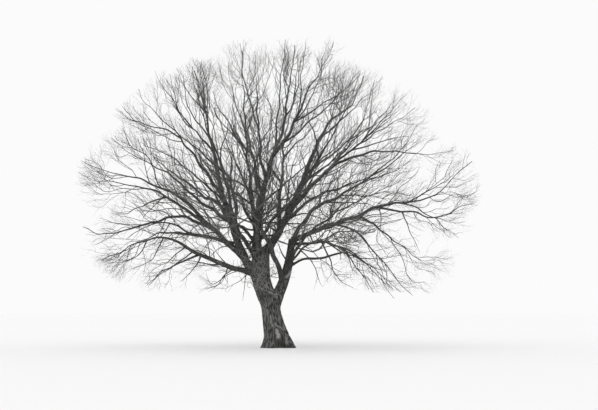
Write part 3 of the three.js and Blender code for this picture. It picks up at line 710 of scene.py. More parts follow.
# %% Trunk
TRUNK = dict(foot=0.18, lean=-0.1, wide=0.42, deep=0.4, fork=2.62, dome=2.25, dome_share=0.8)
SPREAD = dict(start=1.75, left=0.25, right=0.4, curve=1.25)  # of the column towards the fork
TOES = [  # bearing, reach past the column at the ground, height up the trunk, sharpness
    (0, 0.56, 1.9, 7), (62, 0.26, 0.9, 8), (125, 0.23, 0.8, 8),
    (182, 0.23, 0.62, 6), (240, 0.15, 0.7, 9), (322, 0.13, 0.9, 12),
]
TOE_FALL = 1.7  # power by which a toe's reach fades with height
WAIST = 1.7  # height of the column's narrowest part


def trunk_reach(bearing, height):
    """The oval 1 / hypot(cos / half width, sin / half depth), widened towards the fork, plus for each toe
    reach x cos(angle off it)^sharpness x (1 - height / its height)^TOE_FALL."""
    up = np.maximum(0, (height - SPREAD["start"]) / (TRUNK["fork"] - SPREAD["start"]))
    side = np.where(np.cos(bearing) < 0, SPREAD["left"], SPREAD["right"])
    wide = TRUNK["wide"] + side * up ** SPREAD["curve"]
    reach = 1 / np.hypot(np.cos(bearing) / wide, np.sin(bearing) / TRUNK["deep"])
    for toe, out, tall, sharp in TOES:
        facing = np.maximum(0, np.cos(bearing - np.radians(toe)))
        reach = reach + out * facing**sharp * np.maximum(0, 1 - height / tall) ** TOE_FALL
    return reach


def trunk_grid(levels, around):
    """Rings at even heights: the middle at foot + lean x height, plus the reach times
    sqrt(1 - dome_share x (share of the dome's height)^2) towards each bearing."""
    height, bearing = np.meshgrid(
        np.linspace(0, TRUNK["fork"], levels), np.arange(around) * 2 * np.pi / around, indexing="ij"
    )
    domed = np.maximum(0, (height - TRUNK["dome"]) / (TRUNK["fork"] - TRUNK["dome"]))
    reach = trunk_reach(bearing, height) * np.sqrt(1 - TRUNK["dome_share"] * domed**2)
    x = TRUNK["foot"] + TRUNK["lean"] * height + np.cos(bearing) * reach
    return np.stack([x, np.sin(bearing) * reach, height], -1).reshape(-1, 3)


LEVELS, AROUND = 80, 120
trunk = make_piece("trunk_core", trunk_grid(LEVELS, AROUND), tube_faces(1, LEVELS, AROUND, False), [])
print("waist:", round(2 * float(trunk_reach(0.0, WAIST)), 2), "m wide")

# %% [markdown]
# At the foot of the trunk, a little to the right in front, there is a hollow: an arch that leans, open to
# the front and down to the ground. It is a stretched ball, cut out of the trunk by a Boolean modifier
# before anything else is joined to it. The grid could be pushed in there instead, but it would be drawn
# out thin at the edge, just where the callus needs its corners.

# %% Hollow
HOLLOW_MIDDLE = np.array([0.45, -0.56, 0.2])
HOLLOW_HALF = np.array([0.275, 0.42, 0.84])
HOLLOW_LEAN = -0.2
POLE = 0.02  # left open at the ball's poles, in radians


def hollow_depth(places):
    """Below 0 inside the hollow and above 0 outside: the length of (place - middle, with the lean taken
    off) over the half sizes, less 1."""
    off = places - HOLLOW_MIDDLE
    off = np.stack([off[:, 0] - HOLLOW_LEAN * off[:, 2], off[:, 1], off[:, 2]], 1)
    return np.linalg.norm(off / HOLLOW_HALF, axis=1) - 1


def ball_grid(rings, around):
    """(sin down cos turn, sin down sin turn, -cos down), stretched and leant, from pole to pole."""
    down, turn = np.meshgrid(
        np.linspace(POLE, np.pi - POLE, rings), np.arange(around) * 2 * np.pi / around, indexing="ij"
    )
    ball = np.stack([np.sin(down) * np.cos(turn), np.sin(down) * np.sin(turn), -np.cos(down)], -1)
    ball = ball.reshape(-1, 3) * HOLLOW_HALF
    ball[:, 0] += HOLLOW_LEAN * ball[:, 2]
    return ball + HOLLOW_MIDDLE


BALL_RINGS, BALL_AROUND = 40, 60
ball_faces = tube_faces(1, BALL_RINGS, BALL_AROUND, False)
cutter = make_piece("cutter", ball_grid(BALL_RINGS, BALL_AROUND), ball_faces, [])
cut = trunk.modifiers.new("hollow", "BOOLEAN")
cut.operation = "DIFFERENCE"
cut.solver = "MANIFOLD"
cut.object = cutter


def settle(piece):
    """Give the piece the mesh that its modifiers make of it, and take the modifiers off."""
    bpy.context.view_layer.update()
    made = piece.evaluated_get(bpy.context.evaluated_depsgraph_get())
    mesh = bpy.data.meshes.new_from_object(made)
    piece.modifiers.clear()
    piece.data = mesh
    return mesh


cut_mesh = settle(trunk)
bpy.data.objects.remove(cutter)
print("trunk with its hollow:", len(cut_mesh.vertices), "corners")

# %% [markdown]
# Where a limb leaves a stem, wood swells round its foot and the two flow into each other. Tubes that only
# pierce each other would look like a pipe rack. So the trunk, both stems and the first metre of each limb
# that leaves them become one skin: Blender's voxel Remesh keeps the outside of all of them together, and
# a few rounds of smoothing soften the crotches.

# %% Trunk, stems and feet of limbs in one skin
VOXEL = 0.0205
FUSED = 1.15  # length of the foot that is part of the skin, of a limb that leaves a stem
FUSED_FORK = 0.8  # and of a limb that leaves such a foot
WHOLE = 9.0  # longer than either stem, so all of it
THINNEST_FUSED = 0.1
COLLAR = 0.32  # how much thicker a limb is where it leaves, as a share
COLLAR_LONG = 0.22
SINK = dict(part=0.22, long=0.4)  # how much thinner the foot gets at its end, and over what length
CORE = dict(spacing=0.05, sides=32)  # of the tubes that the skin is made from
SOFTEN = dict(factor=0.5, rounds=7)
UPRIGHT = 0.15  # share of a limb's length that it goes sideways, below which it counts as upright


def lean_of(curve):
    """A level direction square to the limb's heading in plan, which no limb ever points along."""
    way = curve[-1] - curve[0]
    if np.hypot(way[0], way[1]) < UPRIGHT * np.linalg.norm(way):
        return np.array([0.0, 1.0, 0.0])
    return unit(np.array([-way[1], way[0], 0.0]))


def foot_of(line, long, spacing):
    """The curve and radii of a line up to a distance from its foot, at even spacing."""
    far = walked(line["curve"])
    end = min(long, far[-1])
    places = np.linspace(0, end, max(4, int(end / spacing)))
    return places, read_along(places, far, line["curve"]), np.interp(places, far, line["radii"])


stems = ["west_stem", "east_stem"]
fused = {name: WHOLE for name in stems}
for name, line in lines.items():
    limb = line["limb"]
    if limb["girth"] < THINNEST_FUSED:
        continue
    if limb.get("born") in stems:
        fused[name] = FUSED
    elif limb.get("born") in fused and limb["at"] * LIMBS[limb["born"]]["length"] < FUSED:
        fused[name] = FUSED_FORK

skin_parts = [trunk]
for name, long in fused.items():
    places, curve, radii = foot_of(lines[name], long, CORE["spacing"])
    if name not in stems:
        radii = radii * (1 + COLLAR * np.exp(-places / COLLAR_LONG))
        sunk = np.clip((places - long + SINK["long"]) / SINK["long"], 0, 1)
        radii = radii * (1 - SINK["part"] * sunk)
    corners = tube_corners(curve[None], radii[None], lean_of(curve)[None], CORE["sides"], False)
    faces = tube_faces(1, len(curve), CORE["sides"], False)
    skin_parts.append(make_piece(name + "_core", corners, faces, []))

bpy.ops.object.select_all(action="DESELECT")
for part in skin_parts:
    part.select_set(True)
bpy.context.view_layer.objects.active = trunk
bpy.ops.object.join()
trunk.name = "trunk_and_stems"
remesh = trunk.modifiers.new("one skin", "REMESH")
remesh.mode = "VOXEL"
remesh.voxel_size = VOXEL
soften = trunk.modifiers.new("soften", "SMOOTH")
soften.factor = SOFTEN["factor"]
soften.iterations = SOFTEN["rounds"]
skin = settle(trunk)
trunk.select_set(False)
print("skin:", len(skin.vertices), "corners,", len(skin.polygons), "faces")

# %% [markdown]
# The skin has no grid of its own, so the bark has to find its way about it. For each corner and each limb
# the nearest place on the limb's line gives a distance along and an angle round it, and these two give
# the grain. An unwrapped map would do on one limb, but it would have seams in every crotch. Where limbs
# meet here, the nearer one counts more, so plates of one run over into the other. The sum of them all is
# the corner's height, between groove and plate.

# %% Grain of the skin
def nearest_on(places, curve, radii, far, lean):
    """For each place the nearest point of the curve's steps: foot of the perpendicular, held to the step.
    Gives the distance along, the angle round from lean, the radius there and the distance to the line."""
    best = np.full(len(places), np.inf)
    along, angle, radius = np.zeros(len(places)), np.zeros(len(places)), np.zeros(len(places))
    for i in range(len(curve) - 1):
        step = curve[i + 1] - curve[i]
        part = np.clip((places - curve[i]) @ step / (step @ step), 0, 1)
        off = places - curve[i] - part[:, None] * step
        distance = np.linalg.norm(off, axis=1)
        closer = distance < best
        way = unit(step)
        first = unit(lean - (lean @ way) * way)
        turn = np.arctan2(off @ np.cross(way, first), off @ first)
        best = np.where(closer, distance, best)
        along = np.where(closer, far[i] + part * (far[i + 1] - far[i]), along)
        angle = np.where(closer, turn, angle)
        radius = np.where(closer, radii[i] + part * (radii[i + 1] - radii[i]), radius)
    return along, angle, radius, best


GRAIN_GAP = 3.7  # between the places that one limb reads and the next one's


def grain_of(along, angle, radius, number):
    """(radius cos angle, radius sin angle, distance along) + GRAIN_GAP x the limb's number."""
    places = np.broadcast_arrays(radius * np.cos(angle), radius * np.sin(angle), along + 0 * angle)
    return np.stack(places, -1) + GRAIN_GAP * number


def read_corners(mesh, what):
    """The mesh's places or normals as an array of three columns."""
    values = np.empty(len(mesh.vertices) * 3, np.float32)
    mesh.vertices.foreach_get(what, values)
    return values.reshape(-1, 3).astype(float)


COLUMN_RADIUS = (0.35, 0.7)  # least and most that the column's grain is read at
COLUMN_BLEND, LIMB_BLEND = 0.04, 0.03  # distance off a part's outside over which it stops counting
COLUMN_TOP = 0.1  # below the fork, from where the column counts less
LEAST_WEIGHT = 0.004  # of a limb that a corner reads at all
LINE_STEP = 0.16  # of the lines that the nearest places are looked for on

corners, normals = read_corners(skin, "co"), read_corners(skin, "normal")
middle = np.array([TRUNK["foot"], 0, 0]) + corners[:, 2:] * np.array([TRUNK["lean"], 0, 0])
offset = corners - middle - corners[:, 2:] * UP
bearing = np.arctan2(offset[:, 1], offset[:, 0])
reach = trunk_reach(bearing, np.clip(corners[:, 2], 0, TRUNK["fork"]))
out = np.linalg.norm(offset, axis=1)
past = np.hypot(np.maximum(out - reach, 0), np.maximum(corners[:, 2] - TRUNK["fork"] + COLUMN_TOP, 0))
grains = [grain_of(corners[:, 2], bearing, np.clip(out, *COLUMN_RADIUS), 0)]
sizes = [np.ones(len(corners))]
weights = [np.exp(-past / COLUMN_BLEND)]
heights = [bark(grains[0], sizes[0]) * GROOVE]
for name in fused:
    line = lines[name]
    far, curve, radii = foot_of(line, fused[name], LINE_STEP)
    along, angle, radius, best = nearest_on(corners, curve, radii, far, lean_of(line["curve"]))
    grains.append(grain_of(along, angle, radius, line["number"]))
    sizes.append(plate_size(radius))
    weights.append(np.exp(-np.maximum(best - radius, 0) / LIMB_BLEND))
    near = weights[-1] > LEAST_WEIGHT
    height = np.zeros(len(corners))
    height[near] = bark(grains[-1][near], sizes[-1][near]) * groove_depth(radius[near])
    heights.append(height)
weights = np.array(weights) / np.sum(weights, axis=0)
height = np.sum(weights * heights, axis=0)
nearest = np.argmax(weights, axis=0)
skin_grain = np.array(grains)[nearest, np.arange(len(corners))]
skin_size = np.array(sizes)[nearest, np.arange(len(corners))]
print("bark stands out by up to", round(float(height.max()) * 1000, 1), "mm")

# %% [markdown]
# Round the hollow the tree has tried to close its wound: a smooth roll of callus stands out along the
# edge. Inside, the wood is dead: no plates, only shallow upright ribs where it has rotted unevenly, and
# one paler patch where it has been laid bare last. A few pale lines on the bark are old wounds: a frost
# crack, a seam under the fork, a torn limb on the eastern stem, the edge over the hollow and a short line
# at the foot. Each could be a painted patch. As a path it is a few numbers, it stands out a little from
# the bark as well, and a corner is the paler the nearer it is to one.

# %% Callus and dead wood
SCARS = [  # path seen from the front as places across and up, half width
    (((0, 1.46), (0.04, 1.2), (0.09, 0.96)), 0.022),
    (((-0.59, 2.83), (-0.27, 2.6), (0.09, 2.42), (0.32, 2.42)), 0.018),
    (((0.73, 3.19), (0.82, 3.3), (0.91, 3.42)), 0.045),
    (((0.2, 1.1), (0.34, 1.0), (0.52, 0.84)), 0.024),
    (((0.7, 0.22), (0.73, 0.4)), 0.04),
]
BARE_WOOD = ((0.27, 0.92), (0.3, 0.7), (0.36, 0.5))
BARE_HALF = 0.075
LIP = dict(off=0.07, wide=0.06, top=1.5, out=0.03)  # the roll of callus: place, width, upper end, relief
SCAR_OUT = 0.012
SMOOTHED = dict(lip=0.85, scar=0.6)  # share of the bark's relief that callus takes away
EDGE = 0.06  # outside the hollow, over which bark gives way to dead wood
WALL = (0.01, 0.05)  # how far inside the trunk's outline dead wood starts, and over what depth
RIBS = dict(drawn=(16, 16, 2.5), deep=0.02, seed=5)
WOBBLE = dict(by=0.05, fine=7, seed=21)  # of the wounds' edges


def nearness(places, path, half_width):
    """exp(-(distance to the path / half width)^2), the distance taken across and up, on the front only."""
    flat = places[:, [0, 2]]
    best = np.full(len(places), np.inf)
    for start, end in zip(np.array(path[:-1]), np.array(path[1:])):
        part = np.clip((flat - start) @ (end - start) / ((end - start) @ (end - start)), 0, 1)
        best = np.minimum(best, np.linalg.norm(flat - start - part[:, None] * (end - start), axis=1))
    return np.exp(-((best / half_width) ** 2)) * (places[:, 1] < 0)


depth = hollow_depth(corners)
inside = np.clip((EDGE - depth) / EDGE, 0, 1) * np.clip((reach - out - WALL[0]) / WALL[1], 0, 1)
lip = np.exp(-(((depth - LIP["off"]) / LIP["wide"]) ** 2)) * (1 - inside) * (corners[:, 2] < LIP["top"])
ribs = noise(corners * np.array(RIBS["drawn"]), RIBS["seed"])
wandering = corners + WOBBLE["by"] * noise(corners * WOBBLE["fine"], WOBBLE["seed"])[:, None]
scar = np.max([nearness(wandering, path, half_width) for path, half_width in SCARS], axis=0) * (1 - inside)
wood = nearness(wandering, BARE_WOOD, BARE_HALF) * inside
plain = height * (1 - SMOOTHED["lip"] * lip) * (1 - inside) * (1 - SMOOTHED["scar"] * scar)
height = plain + LIP["out"] * lip + SCAR_OUT * scar
height += inside * RIBS["deep"] * ribs
print("corners in the hollow:", int(np.sum(inside > 0.5)))

# %% [markdown]
# Each corner moves out along its normal by its height, less half a groove, so that the skin keeps its
# thickness. The foot stays flat on the ground: the lowest corners are laid level with it, and none goes
# below it. Then the mesh keeps what the materials will ask for, one number or vector for each corner.

# %% Skin with its bark
GROUND = dict(still=0.012, fade=0.02)  # height up to which corners are laid flat, and where bark is full
RIB_TONE = 1.1  # how much the ribs show in the relief, about its middle
LIP_TONE, LIP_PALE = 0.4, 0.2  # how much the roll dulls the relief, and counts as callus
LIP_FOOT = 0.2  # height below which it doesn't

push = (height - 0.5 * GROOVE)[:, None]
skin_corners = corners + normals * push * np.clip(corners[:, 2:] / GROUND["fade"], 0, 1)
on_ground = corners[:, 2] < GROUND["still"]
skin_corners[:, 2] = np.where(on_ground, 0, np.maximum(skin_corners[:, 2], 0))
skin.vertices.foreach_set("co", skin_corners.astype(np.float32).ravel())


def keep(mesh, name, values):
    """Store one number or one vector for each corner, for the materials to read."""
    kind, field = ("FLOAT", "value") if values.ndim == 1 else ("FLOAT_VECTOR", "vector")
    mesh.attributes.new(name, kind, "POINT").data.foreach_set(field, values.astype(np.float32).ravel())


# The relief feeds the colour as well as the bump: the bark look darkens its low parts as painted shade in
# the grooves.
relief = np.clip(height / np.maximum(GROOVE * skin_size, 1e-6), 0, 1)
# Inside the hollow the relief follows the ribs, so the colour is darker between them: painted shade.
relief = np.where(inside > 0.5, np.clip(0.5 + RIB_TONE * ribs, 0, 1), relief * (1 - LIP_TONE * lip))
keep(skin, "relief", relief)
keep(skin, "grain", skin_grain / skin_size[:, None])
keep(skin, "rot", inside)
keep(skin, "callus", np.maximum(scar, LIP_PALE * lip * np.clip(corners[:, 2] - LIP_FOOT, 0, 1)))
keep(skin, "wood", wood)
skin.polygons.foreach_set("use_smooth", np.ones(len(skin.polygons), bool))
skin.update()
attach(trunk, "root")
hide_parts("trunk", "west_stem", "east_stem")
print("trunk and stems:", len(skin.polygons), "faces")

# %% [markdown]
# From the skin on, each limb is a tube along its own curve, right to its tip. The grid has more corners
# where the limb is thick, and each corner stands out by the same bark as the skin's, so the two run into
# each other: the tube starts thinner than the skin, inside it, and comes out as the skin goes in.

# %% Boughs
RING, END_RING = 0.05, 0.11  # between rings along the bough, and along its thin end
LEAST_BARE = 0.3  # share of its length that counts as bough at least
FACET = 0.036  # width of a face round the limb's foot
SIDES = (6, 40)  # least and most
HIDDEN = dict(thinner=0.25, short=0.1, long=0.4)  # of a tube inside the skin
COLLAR_RADII = 2.5  # length of the collar where a thinner bough leaves, in its radii
END_WOOD = 0.035  # of a limb's girth, by which its end is thicker here than the model's


def bough_tube(line):
    """radius x (corner's direction) + bark. Rings stand closer on the bough than on its thin end."""
    name, limb = line["name"], line["limb"]
    far = walked(line["curve"])
    long, bare = far[-1], far[-1] * max(limb["bare"], LEAST_BARE)
    thin_end = np.linspace(bare, long, int((long - bare) / END_RING) + 2)
    places = np.concatenate([np.arange(0, bare, RING), thin_end])
    curve = read_along(places, far, line["curve"])
    radii = np.interp(places, far, line["radii"]) + END_WOOD * limb["girth"] * (places / long) ** 2
    sides = int(np.clip(np.pi * limb["girth"] / FACET, *SIDES))
    lean = lean_of(line["curve"])
    first, second = across(curve[None], lean[None])
    angle = np.arange(sides) * 2 * np.pi / sides
    grain = grain_of(places[:, None], angle[None], radii[:, None], line["number"]).reshape(-1, 3)
    wide = np.repeat(radii, sides)
    size = plate_size(wide)
    rise = bark(grain, size).reshape(len(places), sides)
    if name in fused:
        hidden = np.clip((fused[name] - HIDDEN["short"] - places) / HIDDEN["long"], 0, 1)
        radii = radii * (1 - HIDDEN["thinner"] * hidden)
    else:
        radii = radii * (1 + COLLAR * np.exp(-places / (COLLAR_RADII * radii[0])))
    reach = radii[:, None] + groove_depth(wide).reshape(rise.shape) * (rise - 0.5)
    around = np.cos(angle)[:, None] * first[0][:, None] + np.sin(angle)[:, None] * second[0][:, None]
    rings = curve[:, None] + reach[..., None] * around
    faces = tube_faces(1, len(places), sides, False)
    return rings.reshape(-1, 3), faces, rise.ravel(), grain / size[:, None]


GROUPS = {
    "west": ["west_limb", "west_mid_limb", "west_fork_limb"],
    "low_west": ["west_low_limb", "west_back_low_limb"],
    "northwest": ["northwest_limb", "west_high_limb", "west_back_limb", "northwest_fork_limb"],
    "front": ["front_west_limb", "front_high_limb", "inner_front_limb"],
    "front_low": ["front_low_limb", "front_east_low_limb"],
    "top": ["leader", "leader_west_fork", "leader_east_fork"],
    "back": ["back_high_limb", "back_center_limb"],
    "back_low": ["back_low_limb"],
    "high_east": ["east_high_limb", "front_east_limb", "back_east_limb"],
    "east": ["east_rising_limb", "east_level_limb", "east_limb", "east_upper_limb"],
    "low_east": ["east_low_limb", "east_drooping_limb", "dead_limb"],
}


def bearing_limb(name):
    """The limb whose group a side bough goes with: its main limb, or for a stem its lowest limb."""
    main = main_limb(name)
    return {"east_stem": "east_low_limb", "west_stem": "west_low_limb"}.get(main, main)


def joined(parts):
    """Several pieces' corners, faces and values one after the other, the faces counting on."""
    starts = np.cumsum([0] + [len(part[0]) for part in parts[:-1]])
    faces = np.concatenate([part[1] + start for part, start in zip(parts, starts)])
    return [np.concatenate([part[0] for part in parts]), faces] + [
        np.concatenate([part[i] for part in parts]) for i in range(2, len(parts[0]))
    ]


bough_pieces = {}
for group, names in GROUPS.items():
    sides = [name for name in SIDE_BOUGHS if bearing_limb(name) in names]
    corners, faces, relief, grain = joined([bough_tube(lines[name]) for name in names + sides])
    piece = make_piece("boughs_" + group, corners, faces, [])
    keep(piece.data, "relief", relief)
    keep(piece.data, "grain", grain)
    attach(piece, "root")
    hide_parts(*[name for name in names if lines[name]["bough_steps"]])
    bough_pieces[group] = piece
    print(piece.name, len(faces), "triangles")

# %% [markdown]
# Twigs grow by one rule, again and again. A limb bears first shoots, these bear second shoots, and so on
# to the finest. A shoot leaves at a fork angle, turned round its parent by the golden angle from the shoot
# before, and bends towards the light: away from the crown's heart, and up or down by its limb's lift. The
# model stops after two orders. Here shoots by the same rule have more steps and more sisters, and two finer
# orders follow. Particles could be strewn along the limbs, but they don't know what bears them or what is
# in their way. INNER is for the bare part of a bough, and BESIDE for the side boughs.

# %% The rule
RULE = [
    dict(gap=0.43, start=0.04, end=0.95, long=0.72, least=0.85, fork=42, steps=12, sides=4, slim=0.0078),
    dict(gap=0.42, start=0.16, end=0.96, long=0.58, least=0.5, fork=42, steps=9, sides=3, slim=0.0095),
    dict(gap=0.3, start=0.15, end=0.96, long=0.52, least=0.28, fork=46, steps=6, sides=3, slim=0.0125),
    dict(gap=0.38, start=0.2, end=0.95, long=0.5, least=0.2, fork=50, steps=3, sides=3, slim=0.016),
]
INNER = dict(gap=0.95, start=0.12, end=0.97, long=0.38, least=0.5, fork=38, steps=12, sides=4, slim=0.0078)
BESIDE = dict(gap=0.45, start=0.15, end=0.96, long=0.5, least=0.4, fork=42, steps=12, sides=4, slim=0.0078)
OUTWARD = 0.65  # below 1, shoots stand closer towards the tip of what bears them
FORK_SPREAD = 16  # degrees either way
GOLDEN_SHARE = 0.618034  # of the parent's length, from one shoot's foot to the next, round and round
FIRST_SHARE = 0.409
GOLDEN_TURN = 137.5  # degrees round the parent, from one shoot to the next
TURN_SPREAD = 25
LONG_SPREAD = 0.15
WANDER = 0.2  # of each step off its course
WAVE = 0.5  # of a shoot's slow sway from side to side
WAVES = 1.4  # of these on its way
BEND = 0.42  # towards the light, as a share, at the tip
TIP_RISE = 0.45  # how much a shoot turns up at its end
LIFT = 1.6  # how much the limb's lift counts in the light's direction
BUD = 0.0033  # radius that even the shortest shoot has
FADE = 0.56  # of a shoot's thickness that it loses on its way
SLIM_OF_PARENT = 0.62  # of the parent's thickness there, at most
ROOM = 0.045  # that a shoot keeps from boughs, and from the middle between two masses
SHRINK = [1, 0.78, 0.58, 0.42]  # of its length, at each try to find room for it
PAST_FRAME = 0.12  # that a twig may reach past the model's own box
BEYOND = 0.1  # and past the crown's dome
CLEAR = (1.35, 3.35)  # no twigs grow this far across and up from the trunk's foot
SHADE = 0.4  # of the twigs high inside the crown that have died for want of light
SHADE_RIM, SHADE_DEEP = 7.4, 2  # distance from the heart where that starts, and how far in it is in full
SHADE_LEVEL, SHADE_HIGH = 1.4, 1.5  # height over the heart where it starts, and how far up it is in full


def on_parent(values, owner, share):
    """The value at a share along each owner's row of values at even places."""
    place = share * (values.shape[1] - 1)
    low = np.minimum(place.astype(int), values.shape[1] - 2)
    part = place - low
    if values.ndim == 3:
        part = part[:, None]
    return values[owner, low] * (1 - part) + values[owner, low + 1] * part


def shoot_lines(parents, owner, number, rule, shrink):
    """Each step's way is blend(first way, light, BEND x share) + WANDER x draws + WAVE x sine +
    TIP_RISE x share^2 x up, over its length. The length is shrink x (least + long x the parent's reach x
    (1 - share) x spread). The radius at the foot is slim x length + BUD, held below the parent's."""
    seed = seed_of(parents["seed"][owner], number)
    spot = ((number * GOLDEN_SHARE + FIRST_SHARE) % 1) ** OUTWARD
    share = rule["start"] + (rule["end"] - rule["start"]) * spot
    foot = on_parent(parents["curve"], owner, share)
    ways = parents["curve"][:, 1:] - parents["curve"][:, :-1]
    low = np.minimum((share * ways.shape[1]).astype(int), ways.shape[1] - 1)
    onward = unit(ways[owner, low])
    fork = np.radians(rule["fork"] + FORK_SPREAD * even(seed, 1))[:, None]
    turn = 360 * draw(parents["seed"][owner], 0) + GOLDEN_TURN * number + TURN_SPREAD * even(seed, 2)
    turn = np.radians(turn)[:, None]
    side = unit(UP - onward[:, 2:] * onward)
    out = side * np.cos(turn) + np.cross(onward, side) * np.sin(turn)
    first = onward * np.cos(fork) + out * np.sin(fork)
    light = unit(unit(foot - HEART) + UP * LIFT * parents["lift"][owner][:, None])
    spread = 1 + LONG_SPREAD * even(seed, 3)
    left = 1 - parents["kept"][owner] * share
    length = shrink * (rule["least"] + rule["long"] * parents["reach"][owner] * left * spread)
    steps = np.arange(1, rule["steps"] + 1)
    turned = (BEND * (steps - 0.5) / rule["steps"])[:, None]
    stray = np.stack([even(seed[:, None], 3 * steps + axis) for axis in (1, 2, 3)], -1)
    swing = np.sin(2 * np.pi * (WAVES * steps / rule["steps"] + draw(seed, 53)[:, None]))[..., None]
    sway = WAVE * swing * np.stack([even(seed, number) for number in (50, 51, 52)], -1)[:, None]
    rising = TIP_RISE * (((steps - 0.5) / rule["steps"]) ** 2)[:, None] * UP
    bent = unit(first[:, None] * (1 - turned) + light[:, None] * turned)
    ways = unit(bent + WANDER * stray + sway + rising)
    walk = np.cumsum(ways * (length / rule["steps"])[:, None, None], axis=1)
    curve = np.concatenate([foot[:, None], foot[:, None] + walk], axis=1)
    bearing_radius = SLIM_OF_PARENT * on_parent(parents["radii"], owner, share)
    thick = np.minimum(bearing_radius, rule["slim"] * length + BUD)
    radii = thick[:, None] * (1 - FADE * np.arange(rule["steps"] + 1) / rule["steps"])
    return dict(
        seed=seed, curve=curve, radii=radii, reach=length, lift=parents["lift"][owner],
        own=parents["own"][owner], spray=parents["spray"][owner], kept=np.ones(len(owner)),
    )


print("orders of shoots:", len(RULE))

# %% [markdown]
# A shoot needs room. It stays in the dome of the crown and above its skirt, nearer to its own limb than to
# any other, and clear of the boughs. One that has no room is tried again, shorter, and in the end left
# out. So the sky keeps showing between the masses. The finest two orders only keep to the dome.

# %% Room for shoots
def distance_to(points, curve, radii):
    """Least over the steps of the distance to the step less the larger of its two radii."""
    best = np.full(points.shape[:-1], np.inf)
    for i in range(len(curve) - 1):
        step = curve[i + 1] - curve[i]
        part = np.clip((points - curve[i]) @ step / (step @ step), 0, 1)
        off = points - curve[i] - part[..., None] * step
        best = np.minimum(best, np.linalg.norm(off, axis=-1) - max(radii[i], radii[i + 1]))
    return best


def in_crown(shoots):
    """Every point no further from the heart than CROWN or the shoot's own limb's tip, above SKIRT, and
    hardly past the box of the model."""
    points = shoots["curve"]
    furthest = np.maximum(CROWN, tip_distance[shoots["own"]]) + BEYOND
    fits = (np.linalg.norm(points - HEART, axis=-1) <= furthest[:, None]) & (points[..., 2] >= SKIRT)
    fits &= (np.abs(points[..., 0]) > CLEAR[0]) | (points[..., 2] > CLEAR[1])
    low, high = np.array(cad_box[0]) - PAST_FRAME, np.array(cad_box[1]) + PAST_FRAME
    return np.all(fits & np.all((points > low) & (points < high), axis=-1), axis=1)


def shaded(shoots):
    """Those whose draw is below SHADE, less towards the rim of the crown and towards the heart's level."""
    foot = shoots["curve"][:, 0]
    within = np.clip((SHADE_RIM - np.linalg.norm(foot - HEART, axis=1)) / SHADE_DEEP, 0, 1)
    above = np.clip((foot[:, 2] - HEART[2] - SHADE_LEVEL) / SHADE_HIGH, 0, 1)
    return draw(shoots["seed"], 91) < SHADE * within * above


def has_room(shoots, inner):
    """In the crown, nearer to its own axis than to any other by ROOM, and clear of the boughs."""
    room = in_crown(shoots)
    points = shoots["curve"][:, 2:]
    if not inner:
        toward = np.stack([
            distance_to(points, axis["coarse"], np.zeros(len(axis["coarse"]))) for axis in axes
        ])
        own = np.take_along_axis(toward, shoots["own"][None, :, None], 0)[0]
        np.put_along_axis(toward, shoots["own"][None, :, None], np.inf, 0)
        room &= np.all(toward.min(0) > own + ROOM, axis=1)
    for index, bough in enumerate(boughs):
        clear = distance_to(points, bough["points"], bough["thick"]) > ROOM + shoots["radii"][:, 2:]
        room &= np.all(clear, axis=1) | (shoots["bearer"] == index)
    return room


def chosen(shoots, which):
    """The rows of the shoots that which picks."""
    return {key: values[which] for key, values in shoots.items()}


def together(several):
    """Rows of several sets of shoots one after the other."""
    return {key: np.concatenate([shoots[key] for shoots in several]) for key in several[0]}


def grow(parents, rule, order, inner=False):
    """A number of shoots for each parent by its reach over the gap, each tried at the shares of SHRINK."""
    counts = np.maximum(1, np.round(parents["reach"] / rule["gap"])).astype(int)
    owner = np.repeat(np.arange(len(counts)), counts)
    number = np.arange(len(owner)) - np.repeat(np.cumsum(counts) - counts, counts)
    grown = []
    for shrink in SHRINK:
        shoots = shoot_lines(parents, owner, number, rule, shrink)
        shoots["bearer"] = parents["bearer"][owner]
        fits = has_room(shoots, inner) if order < 2 else in_crown(shoots)
        grown.append(chosen(shoots, fits))
        owner, number = owner[~fits], number[~fits]
    return together(grown)


EVEN_PLACES = 21


def evenly(line, start, end):
    """The curve and radii at EVEN_PLACES even shares between two shares of a limb."""
    shares = np.linspace(start, end, EVEN_PLACES)
    radii = thickness(line["limb"], shares) + END_WOOD * line["limb"]["girth"] * shares**2
    return read_along(shares, line["fine"], line["curve"]), radii


boughs = [
    {"name": name, "points": line["points"][: line["bough_steps"] + 1],
     "thick": thickness(line["limb"], line["shares"][: line["bough_steps"] + 1])}
    for name, line in lines.items() if line["bough_steps"]
]
bough_number = {bough["name"]: index for index, bough in enumerate(boughs)}
axes = [
    {"name": name, "coarse": line["points"][line["bough_steps"] :]}
    for name, line in lines.items() if line["limb"]["bare"] < 1
]
tip_distance = np.array([np.linalg.norm(axis["coarse"][-1] - HEART) for axis in axes])
print(len(boughs), "boughs and", len(axes), "axes of masses")

# %% [markdown]
# The axes bear the sprays of the masses. The bare boughs and the side boughs bear shorter sprays as well,
# which fill the inside of the crown with the haze of twigs that an old tree has there.

# %% Growing
def parents_from(names, start_of, end_of, seeds, inner):
    """One row for each limb: its curve and radii at even shares, and what its shoots pass on."""
    rows = [evenly(lines[name], start_of(name), end_of(name)) for name in names]
    return dict(
        seed=np.array(seeds, np.uint32), curve=np.array([row[0] for row in rows]),
        radii=np.array([row[1] for row in rows]),
        reach=np.array([lines[n]["limb"]["length"] * (1 - start_of(n)) for n in names]),
        kept=np.array([end_of(n) for n in names]) if inner else np.ones(len(names)),
        lift=np.array([lines[n]["limb"]["lift"] for n in names]),
        own=np.array([axis_of(n) for n in names]), spray=np.zeros(len(names), int),
        bearer=np.array([bough_number[n] if inner else -1 for n in names]),
    )


INNER_SEEDS, SIDE_SEEDS = 900, 700  # added to the limbs' numbers, so that their draws are not the masses'
axis_number = {axis["name"]: index for index, axis in enumerate(axes)}


def axis_of(name):
    """The number of the mass that a limb's or side bough's twigs belong to."""
    return axis_number.get(name, axis_number.get(bearing_limb(name), axis_number["east_low_limb"]))


